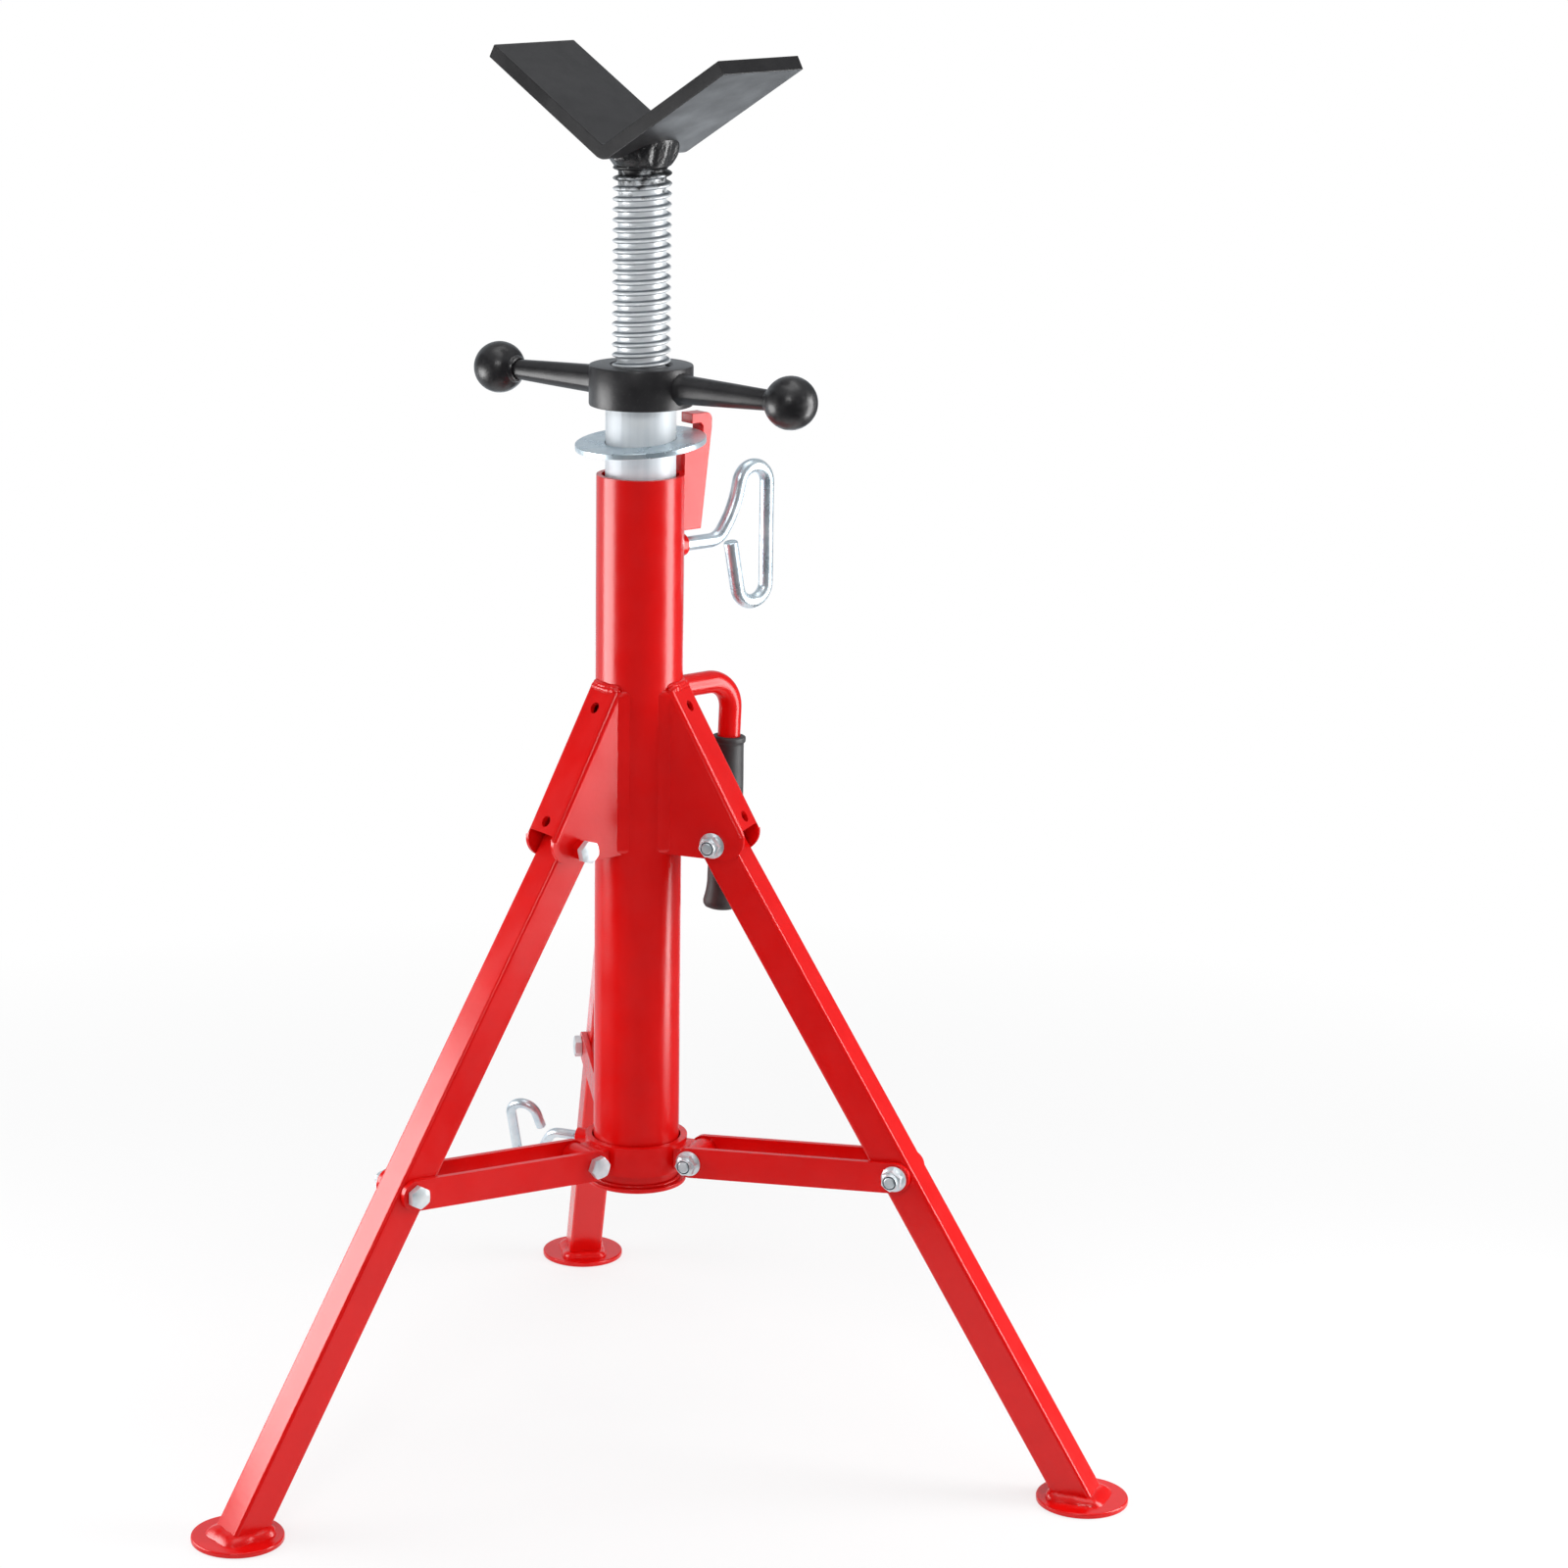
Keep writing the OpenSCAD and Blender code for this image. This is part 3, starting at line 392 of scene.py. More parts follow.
def black_paint():
    """Satin black on mill-finished plate: fine grain, faint streaks, and rubbed patches."""
    mat, tree = new_material("black_paint", Specular_IOR_Level=0.36, Coat_Weight=0.05,
                             Coat_Roughness=0.2)
    grain = pattern(tree, 1500, 2)
    streaks = pattern(tree, 70, 4, 0.6, (1, 1, 0.12))
    tone = mix_over(tree, streaks, (0.011, 0.0107, 0.012), (0.019, 0.0185, 0.020))
    colour = blend_colours(tree, spread(tree, grain, 0.45, 0.75, 0, 0.4), tone, (0.040, 0.0385, 0.040))
    gloss = spread(tree, pattern(tree, 38, 4), 0.3, 0.7, 0.33, 0.46)
    fine = add_bump(tree, grain, 0.12, 0.15)
    return finish_material(mat, Base_Color=colour, Roughness=gloss,
                           Normal=add_bump(tree, streaks, 0.05, 0.4, fine))


def black_casting():
    """Black painted casting with a soft, slightly sandy skin."""
    mat, tree = new_material("black_casting", Specular_IOR_Level=0.4, Coat_Weight=0.05,
                             Coat_Roughness=0.25)
    sand = pattern(tree, 850, 3, 0.6)
    tone = mix_over(tree, pattern(tree, 45, 4), (0.016, 0.0155, 0.017), (0.029, 0.028, 0.030))
    colour = blend_colours(tree, spread(tree, sand, 0.6, 0.75, 0, 0.6), tone, (0.06, 0.058, 0.06))
    wavy = add_bump(tree, pattern(tree, 130, 3), 0.10, 1.0)
    return finish_material(mat, Base_Color=colour, Roughness=spread(tree, sand, 0.3, 0.7, 0.30, 0.42),
                           Normal=add_bump(tree, sand, 0.16, 0.2, wavy))


def black_weld():
    """Brush-painted weld: deep black with a wet look and uneven lumps."""
    mat, tree = new_material("black_weld", Coat_Weight=0.3, Coat_Roughness=0.16)
    tone = mix_over(tree, pattern(tree, 120, 3), (0.008, 0.008, 0.009), (0.018, 0.0175, 0.019))
    gloss = spread(tree, pattern(tree, 400, 3), 0.3, 0.7, 0.24, 0.38)
    lumps = add_bump(tree, pattern(tree, 210, 3), 0.6, 1.8)
    return finish_material(mat, Base_Color=tone, Roughness=gloss,
                           Normal=add_bump(tree, pattern(tree, 800, 2), 0.12, 0.3, lumps))


def black_knob():
    """Moulded black plastic with a shallow sink pattern and light handling marks."""
    mat, tree = new_material("black_knob", Coat_Weight=0.1, Coat_Roughness=0.2)
    sink = pattern(tree, 75, 3)
    tone = mix_over(tree, sink, (0.011, 0.0105, 0.012), (0.020, 0.0195, 0.021))
    gloss = spread(tree, pattern(tree, 260, 4), 0.35, 0.7, 0.28, 0.44)
    soft = add_bump(tree, sink, 0.16, 1.2)
    return finish_material(mat, Base_Color=tone, Roughness=gloss,
                           Normal=add_bump(tree, pattern(tree, 1100, 2), 0.08, 0.12, soft))


def nut_plastic():
    """Dark blue nylon of the lock nuts' inserts."""
    mat, tree = new_material("nut_plastic")
    tone = mix_over(tree, pattern(tree, 300, 3), (0.007, 0.020, 0.036), (0.012, 0.032, 0.052))
    gloss = spread(tree, pattern(tree, 500, 3), 0.3, 0.7, 0.4, 0.55)
    return finish_material(mat, Base_Color=tone, Roughness=gloss,
                           Normal=add_bump(tree, pattern(tree, 1500, 2), 0.1, 0.1))


def grip_rubber():
    """Soft grey-black rubber with a fine pebble and dusty high spots."""
    mat, tree = new_material("grip_rubber")
    pebble = pattern(tree, 1300, 2)
    tone = mix_over(tree, pattern(tree, 60, 4), (0.017, 0.017, 0.019), (0.029, 0.029, 0.031))
    colour = blend_colours(tree, spread(tree, pebble, 0.58, 0.78, 0, 0.5), tone, (0.055, 0.055, 0.06))
    return finish_material(mat, Base_Color=colour, Roughness=spread(tree, pebble, 0.3, 0.7, 0.46, 0.62),
                           Normal=add_bump(tree, pebble, 0.22, 0.25))


def zinc(name, light, dark, gloss, metal, cloud_scale, stretch=(1, 1, 1), shine=0.5):
    """Bright blue-white zinc: cloudy tone, a trace of yellow passivate, and fine plating grain."""
    mat, tree = new_material(name, Metallic=metal, Specular_IOR_Level=shine)
    cloud = pattern(tree, cloud_scale, 4, 0.6, stretch)
    tone = mix_over(tree, cloud, dark, light, 0.32, 0.68)
    tint = spread(tree, pattern(tree, 28, 2), 0.55, 0.75, 0, 0.22)
    colour = blend_colours(tree, tint, tone, (0.80, 0.79, 0.70))
    grain = add_bump(tree, pattern(tree, 1600, 2), 0.06, 0.1)
    return finish_material(mat, Base_Color=colour, Roughness=spread(tree, cloud, 0.3, 0.7, *gloss),
                           Normal=add_bump(tree, cloud, 0.06, 0.3, grain))


def thread_zinc():
    """Rolled thread: painted highlights on the crests and roots, painted shade on the flanks, and black
    overspray under the head.
    """
    mat, tree = new_material("thread_zinc")
    place = node(tree, "ShaderNodeTexCoord").outputs["Object"]
    split = node(tree, "ShaderNodeSeparateXYZ", {0: place}).outputs
    flat = node(tree, "ShaderNodeCombineXYZ", {"X": split["X"], "Y": split["Y"]}).outputs[0]
    radius = node(tree, "ShaderNodeVectorMath", {0: flat}, operation="LENGTH").outputs["Value"]
    level = spread(tree, radius, (SCREW_R - THREAD_DEPTH) * MM, SCREW_R * MM, -1, 1)
    # Painted light: the flanks are painted dark and the crests and roots bright, standing in for the
    # thread's shade and highlights
    painted_light_off_flank = node(tree, "ShaderNodeMath", {0: level}, operation="ABSOLUTE").outputs[0]
    tone = mix_over(tree, painted_light_off_flank, (0.09, 0.11, 0.13), (0.84, 0.87, 0.89), 0.25, 0.95)
    cloud = pattern(tree, 90, 4)
    metal = blend_colours(tree, spread(tree, cloud, 0.4, 0.75, 0, 0.25), tone, (0.55, 0.62, 0.67))
    drift = spread(tree, pattern(tree, 160, 4), 0.3, 0.7, -0.010, 0.010)
    height = node(tree, "ShaderNodeMath", {0: split["Z"], 1: drift}, operation="ADD").outputs[0]
    spray_low, spray_full = THREAD_TOP - 16, THREAD_TOP - 5
    spray = spread(tree, height, spray_low * MM, spray_full * MM, 0, 1)
    return finish_material(mat, Base_Color=blend_colours(tree, spray, metal, (0.014, 0.014, 0.015)),
                           Metallic=spread(tree, spray, 0, 1, 0.22, 0),
                           Roughness=spread(tree, cloud, 0.3, 0.7, 0.30, 0.42),
                           Normal=add_bump(tree, pattern(tree, 900, 3), 0.08, 0.15))


# Mesh building

class Shape:
    """Vertices and faces in millimetres, collected from parts and made into one piece."""

    def __init__(self):
        self.verts = []
        self.faces = []

    def add(self, verts, faces, matrix=None):
        start = len(self.verts)
        self.verts += [matrix @ Vector(v) if matrix else Vector(v) for v in verts]
        self.faces += [tuple(start + i for i in face) for face in faces]
        return self


def finish_piece(obj, finish, body, replaces, sharp=32):
    """Give a piece its material, shading and body, and hide the nodes that it replaces."""
    obj.data.materials.clear()
    obj.data.materials.append(MATS[finish])
    obj.data.shade_smooth()
    obj.data.set_sharp_from_angle(angle=math.radians(sharp))
    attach(obj, body)
    if replaces:
        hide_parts(*replaces)


def cut_level(work, z, side):
    """Cut away what lies above height z (side 1) or below it (side -1), and close the mesh."""
    geometry = work.verts[:] + work.edges[:] + work.faces[:]
    cut = bmesh.ops.bisect_plane(work, geom=geometry, plane_co=(0, 0, z * MM),
                                 plane_no=(0, 0, side), clear_outer=True)
    rim = [e for e in cut["geom_cut"] if isinstance(e, bmesh.types.BMEdge)]
    bmesh.ops.edgeloop_fill(work, edges=rim)


def make_object(name, mesh, work):
    """Object of the mesh as worked on, with its faces turned outwards."""
    bmesh.ops.recalc_face_normals(work, faces=work.faces)
    work.to_mesh(mesh)
    work.free()
    obj = bpy.data.objects.new(name, mesh)
    SCENE.collection.objects.link(obj)
    return obj


def make_piece(name, shape, finish, body, replaces=(), sharp=32, cuts=()):
    """Make a piece of a shape, cut level at each (height, side)."""
    mesh = bpy.data.meshes.new(name)
    mesh.from_pydata([v * MM for v in shape.verts], [], shape.faces)
    work = bmesh.new()
    work.from_mesh(mesh)
    for z, side in cuts:
        cut_level(work, z, side)
    loose = [v for v in work.verts if not v.link_faces]
    bmesh.ops.delete(work, geom=loose, context="VERTS")
    finish_piece(make_object(name, mesh, work), finish, body, replaces, sharp)


def grid_faces(rows, per, closed=False):
    """Faces round rows of points, per in each. A closed grid joins its last row to the first."""
    faces = []
    for i in range(rows if closed else rows - 1):
        j = (i + 1) % rows
        for k in range(per):
            m = (k + 1) % per
            faces.append((i * per + k, i * per + m, j * per + m, j * per + k))
    return faces


def grid_ends(rows, per):
    """Faces that close the first and the last row of a grid."""
    return [tuple(range(per)), tuple((rows - 1) * per + k for k in range(per))]


def lathe(rings, segments=48, closed=False):
    """Surface of rings (radius, height) about z. Either value may be a function of the angle.
    A radius of 0 makes a pole, and closed joins the last ring to the first."""
    verts, rows = [], []
    for radius, height in rings:
        count = 1 if radius == 0 else segments
        row = []
        for i in range(count):
            a = 2 * math.pi * i / segments
            r = radius(a) if callable(radius) else radius
            z = height(a) if callable(height) else height
            row.append(len(verts))
            verts.append((r * math.cos(a), r * math.sin(a), z))
        rows.append(row)
    faces = []
    pairs = list(zip(rows, rows[1:])) + ([(rows[-1], rows[0])] if closed else [])
    for low, high in pairs:
        for i in range(segments):
            j = (i + 1) % segments
            if len(low) == 1:
                faces.append((low[0], high[j], high[i]))
            elif len(high) == 1:
                faces.append((low[i], low[j], high[0]))
            else:
                faces.append((low[i], low[j], high[j], high[i]))
    return verts, faces


def sweep(points, radii, sides, closed=False, squash=1.0):
    """Tube along points, with a radius at each. A closed tube joins its ends."""
    count = len(points)
    points = [Vector(p) for p in points]
    tangents = []
    for i in range(count):
        if closed:
            t = points[(i + 1) % count] - points[i - 1]
        else:
            t = points[min(i + 1, count - 1)] - points[max(i - 1, 0)]
        tangents.append(t.normalized())
    side = tangents[0].orthogonal().normalized()
    verts, faces = [], []
    for i, (p, t, r) in enumerate(zip(points, tangents, radii)):
        side = (side - side.dot(t) * t).normalized()
        other = t.cross(side)
        for k in range(sides):
            a = 2 * math.pi * k / sides
            verts.append(p + r * (math.cos(a) * side + squash * math.sin(a) * other))
    for i in range(count if closed else count - 1):
        j = (i + 1) % count
        offset = 0
        if closed and j == 0:
            first = [(verts[k] - verts[i * sides]).length for k in range(sides)]
            offset = first.index(min(first))
        for k in range(sides):
            m = (k + 1) % sides
            faces.append((i * sides + k, i * sides + m, j * sides + (m + offset) % sides,
                          j * sides + (k + offset) % sides))
    if not closed:
        faces.append(tuple(range(sides - 1, -1, -1)))
        faces.append(tuple((count - 1) * sides + k for k in range(sides)))
    return verts, faces


def turn(az):
    """Turn about the column's axis, in degrees."""
    return Matrix.Rotation(math.radians(az), 4, "Z")


def place_at(az, x=0.0, y=0.0, z=0.0):
    """Local place beside an azimuth."""
    return turn(az) @ Matrix.Translation((x, y, z))


def along_y(sign, clock=0.0):
    """Turn local +z to +y or -y, after a turn about its own axis."""
    return Matrix.Rotation(-sign * math.pi / 2, 4, "X") @ Matrix.Rotation(math.radians(clock), 4, "Z")


ALONG_X = Matrix.Rotation(math.pi / 2, 4, "Y")


def dress(node_name, finish, width, top):
    """Show a CAD node by a copy of its mesh with its sharp edges rounded. A bracket's copy is cut
    level at top, which is None for the others."""
    source = frame["nodes"][node_name]
    mesh = source.data.copy()
    work = bmesh.new()
    work.from_mesh(mesh)
    bmesh.ops.remove_doubles(work, verts=work.verts, dist=MERGE)
    bmesh.ops.dissolve_limit(work, angle_limit=math.radians(FLAT), verts=work.verts, edges=work.edges)
    if top:
        cut_level(work, top, 1)
    obj = make_object(node_name + "_skin", mesh, work)
    if width:
        bevel = obj.modifiers.new("edges", "BEVEL")
        bevel.width = width * MM
        bevel.segments = 2
        bevel.limit_method = "ANGLE"
        bevel.angle_limit = math.radians(EDGE)
        bevel.harden_normals = True
        bevel.use_clamp_overlap = True
    finish_piece(obj, finish, source["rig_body"], (node_name,))


# Fasteners

def hex_radius(across):
    """Radius of a hexagon at an angle."""
    return lambda a: across / 2 / math.cos((a + math.pi / 6) % (math.pi / 3) - math.pi / 6)


def hex_chamfer(height, across):
    """Height of a hexagon's chamfered edge, which drops at the corners."""
    radius = hex_radius(across)
    inner, slope = across / 2 * 0.98, math.tan(math.radians(28))
    return lambda a: height - max(0.0, radius(a) - inner) * slope


def thread_rings(radius, start, end):
    """Thread of a small fastener as fine grooves, from one height to a higher one."""
    rings = []
    z = start
    while z + BOLT_PITCH <= end:
        rings += [(radius, z), (radius, z + 0.2 * BOLT_PITCH), (radius - BOLT_GROOVE, z + 0.6 * BOLT_PITCH)]
        z += BOLT_PITCH
    return rings


def bolt(length, threaded):
    """Hex bolt with its seat at z = 0 and its shank below."""
    corner = hex_radius(HEAD_AF)
    rings = [(0, -length), (BOLT_R - 0.8, -length), (BOLT_R - 0.1, -length + 0.6)]
    rings += thread_rings(BOLT_R, -length + 0.9, -length + threaded)
    rings += [(BOLT_R, -length + threaded + 0.5), (BOLT_R, 0), (HEAD_AF / 2 * 0.97, 0.0),
              (corner, 0.35), (corner, hex_chamfer(HEAD_H, HEAD_AF)), (HEAD_AF / 2 * 0.95, HEAD_H),
              (0, HEAD_H)]
    return lathe(rings, 72)


def flange_nut():
    """Flange lock nut with its seat at z = 0: hexagon, round collar, and a recess for the insert."""
    corner = hex_radius(HEX_AF)
    bore = BOLT_R + 0.04
    rings = [(bore, 0), (NUT_FLANGE_R - 0.4, 0), (NUT_FLANGE_R, 0.35), (NUT_FLANGE_R, 1.0),
             (NUT_FLANGE_R - 0.35, 1.4), (HEX_AF / 2 + 1.1, 2.3), (corner, 2.8),
             (corner, hex_chamfer(NUT_HEX_TOP, HEX_AF)), (HEX_AF / 2 * 0.93, NUT_HEX_TOP),
             (NUT_COLLAR_R, NUT_HEX_TOP + 0.3), (NUT_COLLAR_R, NUT_TOP - 0.7),
             (NUT_COLLAR_R - 0.35, NUT_TOP - 0.1), (NUT_COLLAR_R - 0.7, NUT_TOP),
             (NUT_COLLAR_R - 0.85, NUT_TOP - 0.3), (NUT_COLLAR_R - 0.85, NUT_TOP - 1.6),
             (bore, NUT_TOP - 1.6)]
    return lathe(rings, 72, closed=True)


def nut_insert():
    """Plastic ring in the collar of a lock nut."""
    outer = NUT_COLLAR_R - 0.88
    rings = [(BOLT_R + 0.01, NUT_TOP - 1.55), (BOLT_R + 0.01, NUT_TOP - 0.6),
             (outer, NUT_TOP - 0.45), (outer, NUT_TOP - 1.55)]
    return lathe(rings, closed=True)


def weld_nut():
    """Hex nut welded to a bracket, with its seat at z = 0."""
    corner = hex_radius(HEX_AF)
    bore = BOLT_R + 0.06
    rings = [(bore, 0), (corner, 0), (corner, hex_chamfer(WELD_NUT_H, HEX_AF)),
             (HEX_AF / 2 * 0.94, WELD_NUT_H), (BOLT_R + 0.6, WELD_NUT_H), (bore, WELD_NUT_H - 0.5)]
    return lathe(rings, 72, closed=True)


def add_bolt(shapes, group, az, x, z, head_y, nut_y, clock, nut_clock):
    """Bolt, lock nut and insert ring of one joint, added to the pieces of their group."""
    length = head_y + nut_y + NUT_H + BOLT_PAST
    head = place_at(az, x, head_y, z) @ along_y(1, clock)
    nut = place_at(az, x, -nut_y, z) @ along_y(-1, nut_clock)
    shapes[group + "_bolts_detail"].add(*bolt(length, BOLT_THREAD), head)
    shapes[group + "_nuts_detail"].add(*flange_nut(), nut)
    shapes[group + "_nut_inserts"].add(*nut_insert(), nut)


def make_link_hardware(number, az, clock):
    """The two ends of a link's bolt, which stay in the link plates, with the head and the nut."""
    ends = Shape()
    ends.add(*bolt(LINK_SEAT - LINK_IN, 0.4),
             place_at(az, LINK_X, LINK_SEAT, LINK_Z) @ along_y(1, clock))
    tip_end = NUT_H + BOLT_PAST + LINK_SEAT - LINK_IN
    tip = [(0, 0), (BOLT_R, 0), (BOLT_R, 4)] + thread_rings(BOLT_R, 4.4, tip_end - 0.6)
    tip += [(BOLT_R - 0.1, tip_end - 0.6), (BOLT_R - 0.8, tip_end), (0, tip_end)]
    ends.add(*lathe(tip), place_at(az, LINK_X, -LINK_IN, LINK_Z) @ along_y(-1))
    nut = place_at(az, LINK_X, -LINK_SEAT, LINK_Z) @ along_y(-1, clock + 9)
    ends.add(*flange_nut(), nut)
    make_piece(f"link_hardware_{number}_detail", ends, "zinc_bolt", f"link_{number}",
               (f"link_hardware_{number}",), 25)
    make_piece(f"link_nut_insert_{number}", Shape().add(*nut_insert(), nut), "nut_plastic",
               f"link_{number}")


def make_fasteners():
    """Bolts, lock nuts and weld nuts, each turned a little differently, as fitted by hand."""
    shapes = {name: Shape() for name in FASTENERS}
    for number, (az, (at_pivot, at_collar, at_link)) in enumerate(zip(LEG_AZS, CLOCKS), 1):
        add_bolt(shapes, "pivot", az, PIVOT_OUT, PIVOT_Z, CHEEK_OUT + WELD_NUT_H, CHEEK_OUT,
                 at_pivot, at_pivot + 17)
        welded = place_at(az, PIVOT_OUT, CHEEK_OUT, PIVOT_Z) @ along_y(1, at_pivot - 2)
        shapes["weld_nuts_detail"].add(*weld_nut(), welded)
        add_bolt(shapes, "collar", az, LUG_OUT, COLLAR_Z, LINK_SEAT, LINK_SEAT,
                 at_collar, at_collar + 5)
        make_link_hardware(number, az, at_link)
    for name, (finish, body, replaced) in FASTENERS.items():
        make_piece(name, shapes[name], finish, body, replaced, 25)


# Nut, knobs, screw and head

def make_hub(shape):
    """Hub with a recess over the inner tube and the thread of the screw above it."""
    soft = 1.3
    rings = [(INNER_R + 0.08, HUB_LOW + 0.5), (INNER_R + 0.6, HUB_LOW), (HUB_R - soft, HUB_LOW),
             (HUB_R - 0.35, HUB_LOW + 0.35), (HUB_R, HUB_LOW + soft), (HUB_R, HUB_TOP - soft),
             (HUB_R - 0.35, HUB_TOP - 0.35), (HUB_R - soft, HUB_TOP), (SCREW_R + 1.8, HUB_TOP),
             (SCREW_R + 0.1, HUB_TOP - 1.7), (SCREW_R + 0.1, HUB_LOW + HUB_RECESS),
             (INNER_R + 0.08, HUB_LOW + HUB_RECESS)]
    shape.add(*lathe(rings, 96, closed=True))


def arm_section(width, height, corner):
    """Octagonal section with each corner softened, as points (y, z)."""
    w, h = width / 2, height / 2
    c = corner
    raw = [(w, -h + c), (w, h - c), (w - c, h), (-w + c, h), (-w, h - c), (-w, -h + c),
           (-w + c, -h), (w - c, -h)]
    points = []
    for i, (y, z) in enumerate(raw):
        for other in (raw[i - 1], raw[(i + 1) % len(raw)]):
            length = math.hypot(other[0] - y, other[1] - z)
            share = min(0.25, 0.9 / length)
            points.append((y + (other[0] - y) * share, z + (other[1] - z) * share))
    return points


def make_arm(shape, az):
    """Cast arm: octagonal, tapering from the hub to the knob, with a flare at its root."""
    stations = [(30, 19.6, 21.6, 5.6), (35.6, 19.4, 21.4, 5.6), (37.0, 18.0, 20.0, 5.3),
                (39.5, 17.0, 19.2, 5.1), (46, 16.3, 18.6, 5.0), (80, 14.4, 16.0, 4.4),
                (106, 12.8, 13.8, 3.9), (109.2, 12.4, 13.2, 3.8), (111.2, 11.2, 12.0, 3.5)]
    verts = []
    for x, width, height, corner in stations:
        verts += [(x, y, z) for y, z in arm_section(width, height, corner)]
    rows = len(stations)
    per = len(verts) // rows
    shape.add(verts, grid_faces(rows, per) + grid_ends(rows, per), place_at(az, 0, 0, ARM_Z))


def make_nut_and_knobs():
    """Nut with its two arms, and a ball knob with a short socket on each."""
    nut, knobs = Shape(), Shape()
    make_hub(nut)
    face = KNOB_FACE - KNOB_OUT
    rings = [(0, face + 4), (7.2, face + 4), (7.4, face - 1.4), (8.4, face - 1.1),
             (9.1, face - 0.2), (9.6, face + 1.4)]
    start = math.acos((face + 1.9) / KNOB_R)
    steps = 22
    for i in range(1, steps):
        a = start * (1 - i / steps)
        rings.append((KNOB_R * math.sin(a), KNOB_R * math.cos(a)))
    rings.append((0, KNOB_R))
    for az in (ARM_AZ, ARM_AZ + 180):
        make_arm(nut, az)
        knobs.add(*lathe(rings), place_at(az, KNOB_OUT, 0, ARM_Z) @ ALONG_X)
    make_piece("jack_nut_detail", nut, "black_casting", "nut", ("jack_nut",))
    make_piece("knobs_detail", knobs, "black_knob", "nut", ("knobs",))


def thread_radius(share):
    """Radius over one pitch of the rolled thread: a rounded crest, flanks and a flat root."""
    crest, flank, crown = 0.30, 0.17, 0.9
    from_crest = abs((share + 0.5) % 1.0 - 0.5)
    if from_crest < crest / 2:
        return SCREW_R - crown * (from_crest / (crest / 2)) ** 2
    if from_crest < crest / 2 + flank:
        t = (from_crest - crest / 2) / flank
        ease = t * t * (3 - 2 * t) * 0.35 + t * 0.65
        return SCREW_R - crown - (THREAD_DEPTH - crown) * ease
    return SCREW_R - THREAD_DEPTH


def make_screw():
    """Right-hand thread as a true helix, between a chamfered end and the neck under the head."""
    around, rows = 72, 16
    low, high = SCREW_LOW, HEAD_LOW + 9
    per = (int((high - low) / THREAD_PITCH) + 4) * rows
    start = low - 2 * THREAD_PITCH
    verts, faces = [], []
    for i in range(around):
        a = 2 * math.pi * i / around
        for j in range(per):
            z = start + THREAD_PITCH * (i / around + j / rows)
            r = thread_radius(j / rows)
            fade = min(1.0, max(0.0, (z - THREAD_TOP + 2) / 4))
            r = r + (SCREW_R - 0.5 - r) * fade
            r = min(r, SCREW_R - 3.0 + max(0.0, z - low))
            verts.append((r * math.cos(a), r * math.sin(a), z))
    for i in range(around):
        shift = 0 if i + 1 < around else rows
        n = (i + 1) % around
        for j in range(per - 1 - rows):
            faces.append((i * per + j, n * per + j + shift, n * per + j + 1 + shift, i * per + j + 1))
    make_piece("jack_screw_thread", Shape().add(verts, faces), "thread_zinc", "head",
               ("jack_screw",), 50, ((low, -1), (high, 1)))


def v_underside(across):
    """Height of the V's underside, by the distance from its middle line."""
    foot = V_OUTER_R * math.sin(math.radians(V_RISE))
    if abs(across) < foot:
        return V_CENTRE_Z - math.sqrt(V_OUTER_R ** 2 - across ** 2)
    slope = math.tan(math.radians(V_RISE))
    return V_CENTRE_Z - V_OUTER_R * math.cos(math.radians(V_RISE)) + (abs(across) - foot) * slope


def make_head_weld():
    """Lumpy weld all round between the screw and the underside of the V."""
    around, rows = 120, 12
    chance = random.Random(11)
    lumps = [(chance.uniform(0, 2 * math.pi), chance.uniform(3, 13), chance.uniform(0.25, 0.6))
             for _ in range(7)]
    verts = []
    for i in range(around):
        a = 2 * math.pi * i / around
        wave = sum(size * math.sin(round(rate) * a + phase) for phase, rate, size in lumps) * 0.5
        ripple = 0.35 * abs(math.sin(11 * a + 0.6 * math.sin(3 * a)))
        top = v_underside((SCREW_R + 5) * math.sin(a)) + 1.0
        for j in range(rows):
            t = j / (rows - 1)
            z = THREAD_TOP + 0.8 + (top - THREAD_TOP - 0.8) * t
            swell = 5.4 * t ** 1.6 + 1.7 * math.sin(math.pi * t)
            r = SCREW_R - 0.6 + swell + (wave + ripple) * math.sin(math.pi * min(1, t * 1.1)) ** 0.7
            verts.append((r * math.cos(a), r * math.sin(a), z))
        verts.append(((SCREW_R - 2) * math.cos(a), (SCREW_R - 2) * math.sin(a), top))
        verts.append(((SCREW_R - 2) * math.cos(a), (SCREW_R - 2) * math.sin(a), THREAD_TOP + 0.8))
    shape = Shape().add(verts, grid_faces(around, rows + 2, closed=True), turn(HEAD_AZ))
    make_piece("v_weld_bead", shape, "black_weld", "head", ("v_weld",), 60)


# Bent rods and the grip

def rod_path(steps, step_angle=5):
    """Points of a rod along runs (length,) and bends (radius, angle), from the origin along +x."""
    run_step = 6
    x = z = heading = 0.0
    points = [(0.0, 0.0)]
    for step in steps:
        if len(step) == 1:
            count = max(1, round(step[0] / run_step))
            for _ in range(count):
                x += step[0] / count * math.cos(heading)
                z += step[0] / count * math.sin(heading)
                points.append((x, z))
        else:
            radius, angle = step
            count = max(2, round(abs(angle) / step_angle))
            part = math.radians(angle) / count
            chord = 2 * radius * math.sin(abs(part) / 2)
            for _ in range(count):
                x += chord * math.cos(heading + part / 2)
                z += chord * math.sin(heading + part / 2)
                heading += part
                points.append((x, z))
    return points


